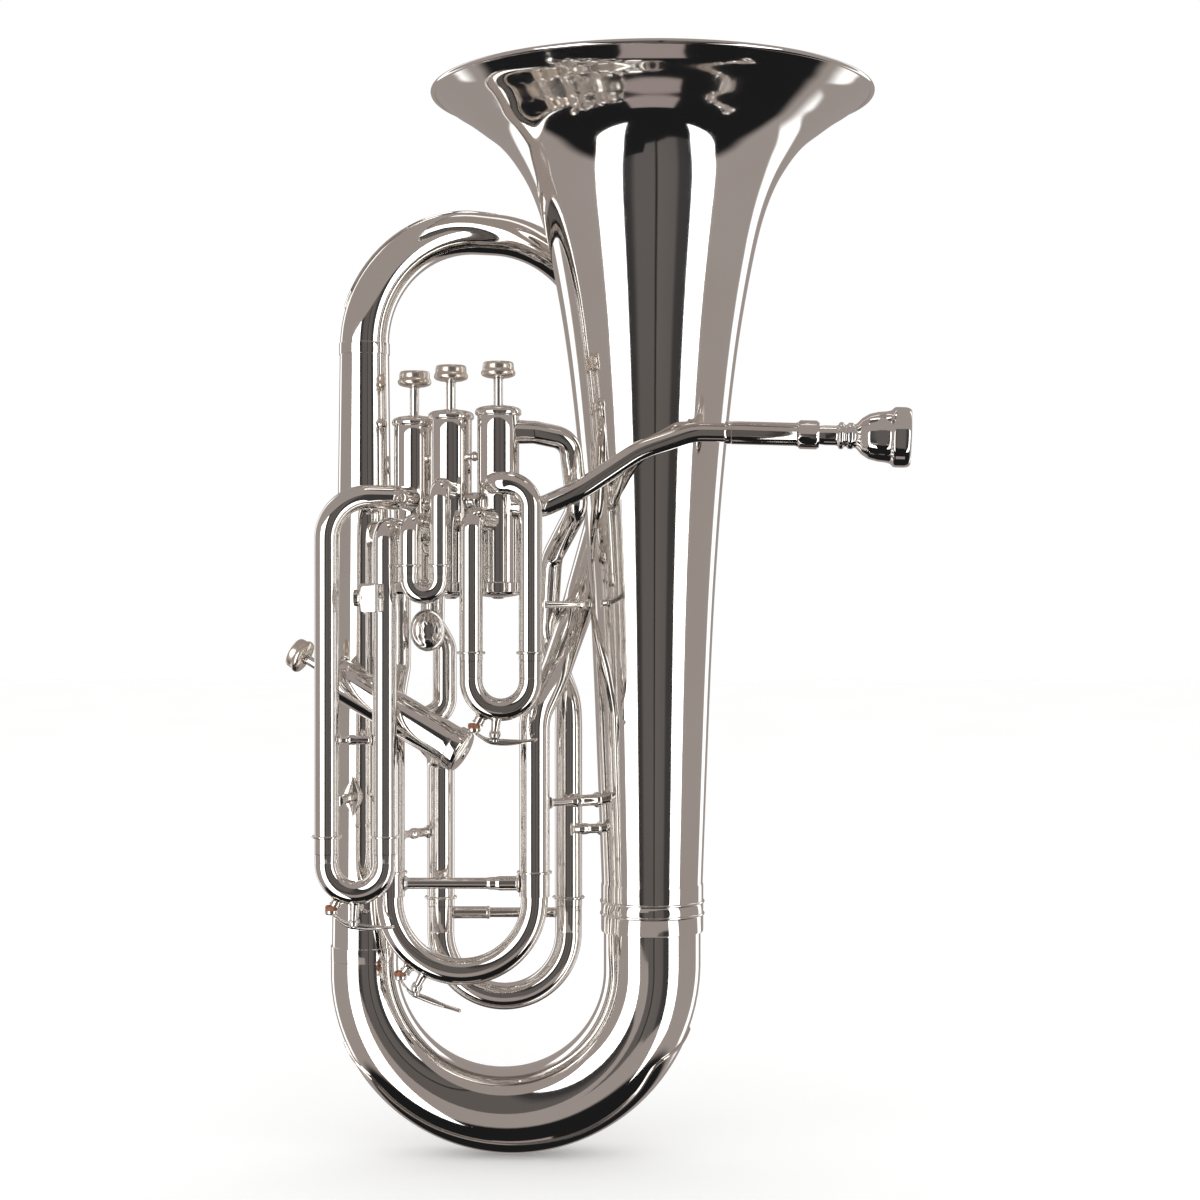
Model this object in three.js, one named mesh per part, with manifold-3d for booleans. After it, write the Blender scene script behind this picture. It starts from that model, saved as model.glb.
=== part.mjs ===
// A compensating euphonium (tenor tuba): three top-action pistons, one side-action piston, bell up.
// Millimetres, +Z up. The origin is under the bottom bow, in the plane of its legs.
// The player's side, with the tuning slides, faces -Y. The mouthpiece points towards +X.
import * as THREE from "three";
import { mergeVertices } from "three/addons/utils/BufferGeometryUtils.js";
import Module from "manifold-3d";

const wasm = await Module();
wasm.setup();

// Driving dimensions.
const GAP = 0.3;
const FINE = 24;
const COARSE = 12;
const TUBE_SIDES = 8;
const WIDE_SIDES = 12;
const BEND_SAG = 0.8;
const WIDEST_STEP = Math.PI / 4;

const BELL_X = 90.4;
const RIM_Z = 719;
const BELL_WALL = 0.8;
const BELL_END_Z = 162;
const BELL_END_R = 33.4;
const RIM_R = 150;
const FERRULE_TOP_Z = 178;
const FERRULE_END_Z = 145;
const RIM_FLAT = 3;

const BOW_Z = 127;
const BOW_RADII = [33.2, 31, 28.6, 25.4, 22];
const GUARD_THICK = 0.5;
const BOW_STUB = 8;
const BOW_BEND = BOW_Z - BOW_RADII[2] - GAP - GUARD_THICK;
const BRANCH_X = BELL_X - 2 * BOW_BEND;
const BRANCH_TOP_Z = 545;
const TOP_BOW_Z = 629;
const TOP_BOW_RADII = [16.6, 15, 13.6, 13];
const TOP_BOW_BEND = 82;
const TOP_BOW_END = [57, 72, 545];
const BRANCH_WALL = 1;
const TOP_BOW_WALL = 0.9;
const REAR_WALL = 0.8;

const CASING_R = 13.75;
const CASING_WALL = 0.9;
const CASING_BOTTOM_Z = 381;
const CASING_TOP_Z = 497;
const CAP_R = 15.25;
const VALVE_XY = [[-12, -45], [-44, -32], [-70, -10]];
const PISTON_R = 12.5;
const PISTON_BOTTOM_Z = 425;
const PISTON_TOP_Z = 492;
const STEM_R = 3;
const BUTTON_Z = 521.4;
const BUTTON_MIDDLE_Z = BUTTON_Z + 5.5;
const PISTON_WALL = 1.2;
const SPRING_R = 9.5;
const SPRING_WALL = 1.4;

// The fourth valve lies on its side: its button is up to the left, its end cap down to the right.
const FOURTH_BUTTON = new THREE.Vector3(-145.4, -24.5, 338.3);
const FOURTH_CAP = new THREE.Vector3(-35.4, -52.5, 275.4);
const FOURTH_R = 13.4;
const FOURTH_SHORTER = 18;
const FOURTH_CAP_R = CAP_R - 0.3;
const FOURTH_PISTON_R = FOURTH_R - CASING_WALL - 0.4;

// Tuning slides: where each leg stands, its sleeves' lower end, its bow's centre height, the radii of the
// sleeves and of the legs inside them, and how far the legs reach in.
const MAIN = {
  left: -85, right: 11.4, y: -30, sleeveEnd: 178, bow: 176,
  outer: 10.1, inner: 9, grip: 70,
};
const FIRST = {
  left: -28.1, right: 10.2, y: -76.5, sleeveEnd: 336, bow: 326.9,
  outer: 7.5, inner: 6.5, grip: 60,
};
const SECOND = {
  left: -68.3, right: -48.7, y: -75, sleeveEnd: 392, bow: 388.5,
  outer: 6.5, inner: 5.6, grip: 24,
};
const THIRD = {
  left: -122.8, right: -85.1, y: -63, sleeveEnd: 210, bow: 205,
  outer: 8, inner: 7, grip: 80,
};
const FOURTH = {
  left: -53, right: 33.6, y: 0, sleeveEnd: 168, bow: 149.5,
  outer: 9.25, inner: 8.3, grip: 60,
};
const SLEEVE_WALL = 0.7;
const SLIDE_WALL = 0.6;
const BOW_SHRINK = 0.2;
const FACET_SLACK = 0.15;

const MOUTH_AXIS_START = new THREE.Vector3(137, -62, 484);
const MOUTH_AXIS_END = new THREE.Vector3(256, -74, 479.8);
const RECEIVER_LENGTH = 60.4;

const LYRE = [-93, -76, 376.4];

const SILVER = { color: 0xc9c2bb, metalness: 1, roughness: 0.12 };
const BRASS = { color: 0xc8a050, metalness: 1, roughness: 0.3 };
const STEEL = { color: 0x9a9a9a, metalness: 1, roughness: 0.35 };

const part = new THREE.Group();

function addMesh(name, geometry, look = SILVER, parent = part) {
  const mesh = new THREE.Mesh(geometry, new THREE.MeshStandardMaterial(look));
  mesh.name = name;
  parent.add(mesh);
  return mesh;
}

function vec(p) {
  return Array.isArray(p) ? new THREE.Vector3(...p) : p;
}

// Solids for boolean work.
function toSolid(geometry) {
  const bare = geometry.clone();
  bare.deleteAttribute("normal");
  bare.deleteAttribute("uv");
  const merged = mergeVertices(bare, 1e-4);
  const vertProperties = merged.attributes.position.array;
  const triVerts = new Uint32Array(merged.index.array);
  return new wasm.Manifold(new wasm.Mesh({ numProp: 3, vertProperties, triVerts }));
}

function toGeometry(solid) {
  const mesh = solid.getMesh();
  const geometry = new THREE.BufferGeometry();
  geometry.setAttribute("position", new THREE.BufferAttribute(mesh.vertProperties, 3));
  geometry.setIndex(new THREE.BufferAttribute(mesh.triVerts, 1));
  return geometry;
}

function join(...geometries) {
  return toGeometry(geometries.map(toSolid).reduce((sum, next) => sum.add(next)));
}

function cut(geometry, ...tools) {
  return toGeometry(tools.map(toSolid).reduce((left, tool) => left.subtract(tool), toSolid(geometry)));
}

// A solid of revolution about Z from a closed profile of [radius, height] points, anticlockwise.
function turned(profile, segments = COARSE) {
  const closed = profile.concat([profile[0]]);
  const points = closed.map(([r, z]) => new THREE.Vector2(r, z));
  return new THREE.LatheGeometry(points, segments).rotateX(Math.PI / 2).rotateZ(Math.PI / 2);
}

// The same, for a profile that starts and ends on the axis.
function turnedSolid(profile, segments = COARSE) {
  const points = profile.map(([r, z]) => new THREE.Vector2(r, z));
  return new THREE.LatheGeometry(points, segments).rotateX(Math.PI / 2).rotateZ(Math.PI / 2);
}

// A matrix that takes +Z to the line from one point to another, with its origin at the first.
function along(from, to) {
  const direction = vec(to).clone().sub(vec(from)).normalize();
  const turn = new THREE.Quaternion().setFromUnitVectors(new THREE.Vector3(0, 0, 1), direction);
  return new THREE.Matrix4().compose(vec(from).clone(), turn, new THREE.Vector3(1, 1, 1));
}

function rod(from, to, radius, sides = TUBE_SIDES) {
  const length = vec(from).distanceTo(vec(to));
  const profile = [[0, 0], [radius, 0], [radius, length], [0, length]];
  return turnedSolid(profile, sides).applyMatrix4(along(from, to));
}

// Chords enough for a bend, so that none leaves the true arc by more than BEND_SAG.
function bendSteps(sweep, bend) {
  const chord = bend > BEND_SAG ? 2 * Math.acos(1 - BEND_SAG / bend) : WIDEST_STEP;
  return Math.max(1, Math.ceil(sweep / Math.min(WIDEST_STEP, chord) - 1e-6));
}

// A centre line through the given corners, each rounded to its own bend radius, as a list of points.
function bentLine(corners, bends) {
  const points = corners.map(vec);
  const line = [points[0].clone()];
  for (let i = 1; i < points.length - 1; i += 1) {
    const before = points[i - 1].clone().sub(points[i]).normalize();
    const after = points[i + 1].clone().sub(points[i]).normalize();
    const opening = before.angleTo(after);
    const bend = Array.isArray(bends) ? bends[i - 1] : bends;
    const setback = bend / Math.tan(opening / 2);
    const toCentre = before.clone().add(after).normalize();
    const centre = points[i].clone().addScaledVector(toCentre, bend / Math.sin(opening / 2));
    const first = points[i].clone().addScaledVector(before, setback).sub(centre);
    const last = points[i].clone().addScaledVector(after, setback).sub(centre);
    const axis = first.clone().cross(last).normalize();
    const sweep = Math.PI - opening;
    const steps = bendSteps(sweep, bend);
    for (let s = 0; s <= steps; s += 1) {
      line.push(first.clone().applyAxisAngle(axis, (sweep * s) / steps).add(centre));
    }
  }
  line.push(points[points.length - 1].clone());
  return line.filter((p, i) => i === 0 || p.distanceTo(line[i - 1]) > 0.05);
}

// Frames along a centre line that turn as little as they can, starting from the given side direction.
function framesAlong(line, side) {
  const tangents = line.map((p, i) => {
    const back = line[Math.max(0, i - 1)];
    const ahead = line[Math.min(line.length - 1, i + 1)];
    return ahead.clone().sub(back).normalize();
  });
  let normal = vec(side).clone();
  return line.map((point, i) => {
    normal = normal.clone().addScaledVector(tangents[i], -normal.dot(tangents[i])).normalize();
    return { point, normal, other: tangents[i].clone().cross(normal) };
  });
}

function lengthsAlong(line) {
  const lengths = [0];
  for (let i = 1; i < line.length; i += 1) lengths.push(lengths[i - 1] + line[i].distanceTo(line[i - 1]));
  return lengths;
}

// A value at a share of the way through a list of them, or a single number.
function spread(values, share) {
  if (!Array.isArray(values)) return values;
  const place = share * (values.length - 1);
  const low = Math.min(values.length - 2, Math.floor(place));
  return values[low] + (values[low + 1] - values[low]) * (place - low);
}

// A ring of points round a centre line's frame, one for each [radius, angle] given.
function ringOf({ point, normal, other }, polar) {
  return polar.map(([r, angle]) => {
    const across = normal.clone().multiplyScalar(r * Math.cos(angle));
    return point.clone().add(across).addScaledVector(other, r * Math.sin(angle));
  });
}

function circle(radius, sides) {
  return Array.from({ length: sides }, (_, k) => [radius, (2 * Math.PI * k) / sides]);
}

// Collects four-sided faces as triangles.
function faceList() {
  const positions = [];
  return {
    quad(a, b, c, d) {
      for (const p of [a, b, c, a, c, d]) positions.push(p.x, p.y, p.z);
    },
    geometry() {
      const geometry = new THREE.BufferGeometry();
      return geometry.setAttribute("position", new THREE.Float32BufferAttribute(positions, 3));
    },
  };
}

// An open-ended tube from matching rings, one set on its outside and one on its inside.
function tubeFromRings(outside, inside) {
  const faces = faceList();
  const sides = outside[0].length;
  const last = outside.length - 1;
  for (let k = 0; k < sides; k += 1) {
    const n = (k + 1) % sides;
    for (let i = 0; i < last; i += 1) {
      faces.quad(outside[i][k], outside[i][n], outside[i + 1][n], outside[i + 1][k]);
      faces.quad(inside[i][n], inside[i][k], inside[i + 1][k], inside[i + 1][n]);
    }
    faces.quad(inside[0][k], inside[0][n], outside[0][n], outside[0][k]);
    faces.quad(outside[last][k], outside[last][n], inside[last][n], inside[last][k]);
  }
  return faces.geometry();
}

// Radii for each station: one number, a list for the stations, or a shorter list spread over the length.
function stationRadii(line, outer) {
  if (Array.isArray(outer) && outer.length === line.length) return outer;
  const lengths = lengthsAlong(line);
  return lengths.map((length) => spread(outer, length / lengths.at(-1)));
}

// An open-ended pipe along a centre line.
function pipe(line, outer, wall = SLEEVE_WALL, sides = TUBE_SIDES, side = [1, 0, 0]) {
  const radii = stationRadii(line, outer);
  const frames = framesAlong(line, side);
  const outside = frames.map((frame, i) => ringOf(frame, circle(radii[i], sides)));
  const inside = frames.map((frame, i) => ringOf(frame, circle(radii[i] - wall, sides)));
  return tubeFromRings(outside, inside);
}

// A curved plate on the outside of a bend. It covers some of a tube's stations and matches its facets.
function guardPlate(line, radii, sides, facets, [first, last], side) {
  const stations = stationRadii(line, radii);
  const angles = Array.from({ length: 2 * facets + 1 }, (_, k) => ((k - facets) * 2 * Math.PI) / sides);
  const rings = framesAlong(line, side).map((frame, i) => {
    const radius = stations[i] + GAP;
    const over = angles.map((angle) => [radius + GUARD_THICK, angle]);
    const under = angles.map((angle) => [radius, angle]).reverse();
    return ringOf(frame, over.concat(under));
  });
  const faces = faceList();
  const count = rings[0].length;
  for (let i = first; i < last; i += 1) {
    for (let k = 0; k < count; k += 1) {
      const next = (k + 1) % count;
      faces.quad(rings[i][k], rings[i][next], rings[i + 1][next], rings[i + 1][k]);
    }
  }
  for (let k = 0; k < 2 * facets; k += 1) {
    const [a, b, c, d] = [k, k + 1, count - 2 - k, count - 1 - k];
    faces.quad(rings[first][d], rings[first][c], rings[first][b], rings[first][a]);
    faces.quad(rings[last][a], rings[last][b], rings[last][c], rings[last][d]);
  }
  return faces.geometry();
}

// Bell: the flare's outline is given by its radius at distances below the rim.
const BELL_OUTLINE = [
  [0, RIM_R], [4.5, 144.5], [10, 137.5], [16, 128], [24, 117], [33.7, 104.6], [47, 93.5], [66, 82.5],
  [92, 73.4], [130, 65.2], [174, 57.9], [230, 51.2], [300, 45], [390, 39.8],
  [RIM_Z - BELL_END_Z, BELL_END_R],
];

function bell() {
  const outside = BELL_OUTLINE.map(([drop, r]) => [r, RIM_Z - drop]).reverse();
  const inside = BELL_OUTLINE.slice(1).map(([drop, r]) => [r - BELL_WALL * 1.6, RIM_Z - drop + 0.6]);
  inside[inside.length - 1] = [BELL_END_R - BELL_WALL, BELL_END_Z];
  const rim = [[RIM_R - RIM_FLAT, RIM_Z]];
  return turned(outside.concat(rim, inside), FINE).translate(BELL_X, 0, 0);
}

// A sleeve over the joint between the bell and the bow, with two raised beads.
function ferrule() {
  const inner = BELL_END_R + GAP + 0.35;
  const outer = inner + 0.7;
  const bead = outer + 0.7;
  const middle = (FERRULE_TOP_Z + FERRULE_END_Z) / 2;
  const profile = [
    [inner, FERRULE_END_Z], [outer, FERRULE_END_Z], [outer, middle - 6], [bead, middle - 5],
    [outer, middle - 4], [outer, middle + 4], [bead, middle + 5], [outer, middle + 6],
    [outer, FERRULE_TOP_Z], [inner + 0.3, FERRULE_TOP_Z],
  ];
  return turned(profile, FINE).translate(BELL_X, 0, 0);
}

const BOW_LINE = bentLine(
  [
    [BELL_X, 0, BELL_END_Z - GAP], [BELL_X, 0, BOW_Z - BOW_BEND], [BRANCH_X, 0, BOW_Z - BOW_BEND],
    [BRANCH_X, 0, BOW_Z + BOW_STUB],
  ],
  BOW_BEND,
);

// The middle radius falls at the bow's lowest point.
const BOW_STATIONS = BOW_LINE.map((_, i) => spread(BOW_RADII, i / (BOW_LINE.length - 1)));

function bottomBow() {
  return pipe(BOW_LINE, BOW_STATIONS, BRANCH_WALL, WIDE_SIDES);
}

// The guard plate runs under the bow from one side to the other, short of the legs.
function bottomBowGuard() {
  return guardPlate(BOW_LINE, BOW_STATIONS, WIDE_SIDES, 2, [3, BOW_LINE.length - 4], [1, 0, 0]);
}

function ascendingBranch() {
  const line = [vec([BRANCH_X, 0, BOW_Z + BOW_STUB + GAP]), vec([BRANCH_X, 0, BRANCH_TOP_Z])];
  return pipe(line, [BOW_RADII.at(-1), TOP_BOW_RADII[0]], BRANCH_WALL, WIDE_SIDES);
}

const TOP_BOW_LINE = bentLine(
  [
    [BRANCH_X, 0, BRANCH_TOP_Z + GAP], [BRANCH_X, 0, TOP_BOW_Z],
    [TOP_BOW_END[0], TOP_BOW_END[1], TOP_BOW_Z], TOP_BOW_END,
  ],
  TOP_BOW_BEND,
);

function topBow() {
  return pipe(TOP_BOW_LINE, TOP_BOW_RADII, TOP_BOW_WALL, WIDE_SIDES, [-1, 0, 0]);
}

function topBowGuard() {
  return guardPlate(TOP_BOW_LINE, TOP_BOW_RADII, WIDE_SIDES, 1, [2, 7], [-1, 0, 0]);
}

// Down behind the bell, forwards past its left side and on into the main slide's right sleeve.
function rearBranch() {
  const corners = [
    [MAIN.right, MAIN.y, MAIN.sleeveEnd], [MAIN.right, MAIN.y, 298], [24, -16, 324], [41, 25, 374],
    [57, 56, 430], [TOP_BOW_END[0], TOP_BOW_END[1], 490],
    [TOP_BOW_END[0], TOP_BOW_END[1], TOP_BOW_END[2] - GAP],
  ];
  const end = TOP_BOW_RADII.at(-1);
  const radii = [MAIN.outer, MAIN.outer, MAIN.outer, 10.6, 11.6, 12.4, end, end];
  return pipe(bentLine(corners, [26, 60, 60, 60, 60]), radii, REAR_WALL);
}

// Valves. The three top-action casings are brazed into one block by balls and cross tubes, given by
// height and radius.
const CROSS_TUBES = [[470, 2], [440, 5.5], [410, 5.5]];
const BALL_R = 3;

function casingTube(radius, bottom, top) {
  const bore = radius - CASING_WALL;
  return turned([[bore, bottom], [radius, bottom], [radius, top], [bore, top]]);
}

function valveBlock() {
  const casings = VALVE_XY.map(([x, y]) => {
    return casingTube(CASING_R, CASING_BOTTOM_Z, CASING_TOP_Z).translate(x, y, 0);
  });
  const links = [];
  for (const [a, b] of [[0, 1], [1, 2]]) {
    const from = new THREE.Vector2(...VALVE_XY[a]);
    const to = new THREE.Vector2(...VALVE_XY[b]);
    const reach = (CASING_R - CASING_WALL / 2 - 0.1) / from.distanceTo(to);
    const start = from.clone().lerp(to, reach);
    const end = to.clone().lerp(from, reach);
    const middle = from.clone().lerp(to, 0.5);
    for (const [z, radius] of CROSS_TUBES) {
      links.push(rod([start.x, start.y, z], [end.x, end.y, z], radius, 6));
    }
    links.push(new THREE.SphereGeometry(BALL_R, 6, 4).translate(middle.x, middle.y, CROSS_TUBES[0][0]));
  }
  return join(...casings, ...links);
}

function topCap(radius, casing, top) {
  const skirt = casing + GAP + FACET_SLACK;
  const hole = STEM_R + 0.4;
  return turned([
    [skirt, top - 3], [radius, top - 3], [radius, top + 2], [radius - 1.6, top + 4.6],
    [radius - 5, top + 5.6], [hole, top + 6.2], [hole, top + GAP], [skirt, top + GAP],
  ]);
}

function bottomCap(radius, casing, bottom) {
  const skirt = casing + GAP + FACET_SLACK;
  return turnedSolid([
    [0, bottom - 5.4], [radius - 6, bottom - 5], [radius - 1, bottom - 2.6], [radius, bottom],
    [radius, bottom + 6],
    [skirt, bottom + 6], [skirt, bottom - GAP], [0, bottom - GAP],
  ]);
}

// The piston is a cup open below, with its stem standing on the closed top.
function piston(radius, bottom, top, buttonZ) {
  const bore = radius - PISTON_WALL;
  return turnedSolid([
    [0, top - 3], [bore, top - 3], [bore, bottom], [radius, bottom], [radius, top], [STEM_R, top],
    [STEM_R, buttonZ - GAP], [2, buttonZ - GAP], [2, buttonZ + 5], [0, buttonZ + 5],
  ]);
}

function fingerButton(z) {
  return turnedSolid([
    [0, z + 5.6], [2.4, z + 5.6], [2.4, z], [7.5, z], [10.6, z + 1.6], [11.2, z + 4], [9.6, z + 5.4],
    [9.6, z + 9.6], [8.8, z + 11], [0, z + 11.4],
  ]);
}

// The coil spring under a piston, as the sleeve that it fills.
function valveSpring(bottom, top) {
  const inner = SPRING_R - SPRING_WALL;
  return turned([[inner, bottom], [SPRING_R, bottom], [SPRING_R, top], [inner, top]], 10);
}

function addValve(number, parent, casingRadius, capRadius, lower, pistonRadius) {
  const bottom = CASING_BOTTOM_Z + lower;
  const pistonBottom = PISTON_BOTTOM_Z + lower;
  addMesh(`top_cap_${number}`, topCap(capRadius, casingRadius, CASING_TOP_Z), SILVER, parent);
  addMesh(`bottom_cap_${number}`, bottomCap(capRadius, casingRadius, bottom), SILVER, parent);
  addMesh(`piston_${number}`, piston(pistonRadius, pistonBottom, PISTON_TOP_Z, BUTTON_Z), SILVER, parent);
  addMesh(`finger_button_${number}`, fingerButton(BUTTON_Z), SILVER, parent);
  addMesh(`valve_spring_${number}`, valveSpring(bottom + GAP, pistonBottom - GAP), STEEL, parent);
}

function addTopValves() {
  addMesh("valve_block", valveBlock());
  VALVE_XY.forEach(([x, y], i) => {
    const group = new THREE.Group();
    group.position.set(x, y, 0);
    part.add(group);
    addValve(i + 1, group, CASING_R, CAP_R, 0, PISTON_R);
  });
}

// The fourth valve is built upright on Z, then laid along its own axis with its button at FOURTH_BUTTON.
function fourthMatrix() {
  const up = FOURTH_BUTTON.clone().sub(FOURTH_CAP).normalize();
  const turn = new THREE.Quaternion().setFromUnitVectors(new THREE.Vector3(0, 0, 1), up);
  const foot = FOURTH_BUTTON.clone().addScaledVector(up, -BUTTON_MIDDLE_Z);
  return new THREE.Matrix4().compose(foot, turn, new THREE.Vector3(1, 1, 1));
}

function addFourthValve() {
  const group = new THREE.Group();
  group.applyMatrix4(fourthMatrix());
  part.add(group);
  const casing = casingTube(FOURTH_R, CASING_BOTTOM_Z + FOURTH_SHORTER, CASING_TOP_Z);
  addMesh("valve_casing_4", casing, SILVER, group);
  addValve(4, group, FOURTH_R, FOURTH_CAP_R, FOURTH_SHORTER, FOURTH_PISTON_R);
}

// Clearance bodies that a tube's end is cut back to, so that it meets a casing's round wall with an even gap.
const CASING_CLEARANCE = VALVE_XY.map(([x, y]) => {
  return rod([x, y, CASING_BOTTOM_Z - 20], [x, y, CASING_TOP_Z + 20], CASING_R + GAP + FACET_SLACK, COARSE);
});
const FOURTH_CLEARANCE = rod([0, 0, 360], [0, 0, 540], FOURTH_R + GAP + FACET_SLACK, COARSE);
FOURTH_CLEARANCE.applyMatrix4(fourthMatrix());

// A sleeve: straight from a slide's mouth, then through bends to a casing, whose clearance bodies trim it.
function sleeve(slide, x, corners, bends, tools) {
  const line = bentLine([[x, slide.y, slide.sleeveEnd], ...corners], bends);
  return cut(pipe(line, slide.outer), ...tools);
}

// A slide: two legs that run in the sleeves, joined by a half-round bow below them.
function slideBow(slide, bowRadius) {
  const { left, right, y, bow } = slide;
  const half = (right - left) / 2;
  const top = slide.sleeveEnd + slide.grip;
  const step = slide.sleeveEnd - GAP;
  const heights = [top, step + 0.2, step];
  const line = heights.map((z) => vec([left, y, z]));
  const steps = bendSteps(Math.PI, half);
  for (let i = 0; i <= steps; i += 1) {
    const angle = Math.PI + (Math.PI * i) / steps;
    line.push(vec([left + half + half * Math.cos(angle), y, bow + half * Math.sin(angle)]));
  }
  line.push(...heights.reverse().map((z) => vec([right, y, z])));
  return steppedPipe(line, (z) => (z > step + 0.1 ? slide.inner : bowRadius), slide.inner - SLIDE_WALL);
}

// A pipe whose outside radius depends on height, with one bore throughout.
function steppedPipe(line, radiusAt, bore) {
  const frames = framesAlong(line, [1, 0, 0]);
  const outside = frames.map((frame) => ringOf(frame, circle(radiusAt(frame.point.z), TUBE_SIDES)));
  const inside = frames.map((frame) => ringOf(frame, circle(bore, TUBE_SIDES)));
  return tubeFromRings(outside, inside);
}

function addSlides() {
  const [v1, v2, v3] = CASING_CLEARANCE;
  addMesh("main_slide", slideBow(MAIN, MAIN.inner));
  addMesh("first_slide", slideBow(FIRST, FIRST.outer - BOW_SHRINK));
  addMesh("second_slide", slideBow(SECOND, SECOND.outer - BOW_SHRINK));
  addMesh("third_slide", slideBow(THIRD, THIRD.outer - BOW_SHRINK));
  addMesh("fourth_slide", slideBow(FOURTH, FOURTH.outer - BOW_SHRINK));
  addMesh("main_slide_sleeve", sleeve(MAIN, MAIN.left, [[MAIN.left, MAIN.y, 300]], 0, [FOURTH_CLEARANCE]));
  const firstLeft = [[FIRST.left, FIRST.y, 428], [-13, -45, 428]];
  addMesh("first_slide_knuckle", sleeve(FIRST, FIRST.left, firstLeft, 9, [v1]));
  const firstCrook = [[FIRST.right, FIRST.y, 450.5], [-13, -73, 450.5], [-12, -45, 450.5]];
  addMesh("first_slide_crook", sleeve(FIRST, FIRST.right, firstCrook, [16, 8], [v1]));
  const secondRight = [[SECOND.right, SECOND.y, 448], [-44, -32, 448]];
  addMesh("second_slide_crook", sleeve(SECOND, SECOND.right, secondRight, 9, [v2]));
  const secondLeft = [[SECOND.left, SECOND.y, 425], [-46, -32, 425]];
  addMesh("second_slide_knuckle", sleeve(SECOND, SECOND.left, secondLeft, 9, [v2]));
  const thirdLeft = [[THIRD.left, THIRD.y, 442.5], [-80, -44, 442.5], [-70, -10, 442.5]];
  addMesh("third_slide_crook", sleeve(THIRD, THIRD.left, thirdLeft, [28, 9], [v3, v2]));
  const thirdRight = [[THIRD.right, THIRD.y, 421], [-73, -10, 421]];
  addMesh("third_slide_knuckle", sleeve(THIRD, THIRD.right, thirdRight, 9, [v3]));
  const fourthLeft = [[FOURTH.left, FOURTH.y, 270], [-57, -45, 283]];
  addMesh("fourth_slide_sleeve", sleeve(FOURTH, FOURTH.left, fourthLeft, 12, [FOURTH_CLEARANCE]));
}

// From the first valve's right side, over and down behind the rear branch to the fourth slide.
function linkTube() {
  const corners = [
    [FOURTH.right, FOURTH.y, FOURTH.sleeveEnd], [FOURTH.right, FOURTH.y, 306], [18.5, 24, 350], [22, 10, 404],
    [40, -25, 436], [35, -38, 481], [12, -44, 485.5], [-12, -45, 485.5],
  ];
  const line = bentLine(corners, [30, 26, 20, 20, 14, 14]);
  const tube = pipe(line, [FOURTH.outer, FOURTH.outer, FOURTH.outer, 7.4, 7.2, 7.5, 7.5]);
  const stub = brace([FOURTH.right + FOURTH.outer - 0.4, -1, 221], [52.4, -1, 221], 3, 3, 0.6);
  return cut(join(tube, stub), CASING_CLEARANCE[0]);
}

// Loops behind an upright valve, given by the valve's place, how far back they reach, and two heights.
const LOOP_R = 6.6;
const LOOP_BEND = 14;
const LOOPS = { 1: [VALVE_XY[0], 28, 400, 466], 3: [VALVE_XY[2], 26, 398, 468] };

function compensatingLoop([[x, y], reach, low, high]) {
  const back = y + CASING_R + reach;
  const corners = [[x, y, high], [x, back, high], [x, back, low], [x, y, low]];
  return cut(pipe(bentLine(corners, LOOP_BEND), LOOP_R), ...CASING_CLEARANCE);
}

function addLinks() {
  addMesh("link_tube", linkTube());
  const inlet = pipe(bentLine([[-79, -18, 373], [-79, -18, 330], [-83, -38, 300]], 12), 7.2);
  addMesh("fourth_valve_inlet", cut(inlet, FOURTH_CLEARANCE));
  const loop = [[-46, -20, 372], [-40, -21, 350], [-38, -21, 304], [-57, -22, 310], [-64, -45, 298]];
  addMesh("fourth_valve_loop", cut(pipe(bentLine(loop, [20, 12, 8]), 7.3), FOURTH_CLEARANCE));
  addMesh("compensating_loop_1", compensatingLoop(LOOPS[1]));
  addMesh("compensating_loop_3", compensatingLoop(LOOPS[3]));
}

// Lead pipe, receiver and mouthpiece.
function addMouthEnd() {
  const pathToValve = [
    [135.8, -62, 484], [115.5, -62, 484.4], [81, -62, 472.6], [42, -61.5, 446.6],
    [18, -58, 436], [-12, -45, 434],
  ];
  const leadPipe = pipe(bentLine(pathToValve, [40, 60, 60, 16]), [6.2, 6.4, 6.6, 6.8]);
  addMesh("lead_pipe", cut(leadPipe, CASING_CLEARANCE[0]));
  const place = along(MOUTH_AXIS_START, MOUTH_AXIS_END);
  const receiver = turned([
    [5.6, 0], [7.1, 0], [7.1, 1], [7.5, 1.6], [7.5, 46], [9.2, 47], [9.2, 60], [8.4, RECEIVER_LENGTH],
    [6.4, RECEIVER_LENGTH], [5.6, 20],
  ]).applyMatrix4(place);
  addMesh("mouthpiece_receiver", receiver);
  addMesh("mouthpiece", mouthpiece().applyMatrix4(place));
}

// The shank tapers into the receiver. The bore narrows to the throat, then opens into the cup.
function mouthpiece() {
  return turned([
    [3.6, 36], [4.6, 36], [6, 60], [6.4, 61], [6.6, 72.5], [9, 74], [9, 76], [7.4, 77.5], [8.8, 80],
    [8.8, 82],
    [7.6, 84], [9.5, 86.5], [13.5, 91], [16.4, 99], [17, 106], [19.5, 108.5], [19.5, 117], [18, 119.6],
    [15.2, 119.6], [12.6, 117], [12, 108], [9.5, 96], [3.4, 86], [3.2, 70],
  ]);
}

// Braces hold the tubes apart: a rod with a wider collar, between the surfaces of two tubes.
function brace(from, to, thin, thick, collar) {
  const start = vec(from);
  const end = vec(to);
  const split = start.clone().lerp(end, collar);
  const ball = new THREE.SphereGeometry(thick * 1.35, 6, 4).translate(split.x, split.y, split.z);
  return join(rod(start, split, thin), rod(split, end, thick), ball);
}

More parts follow.
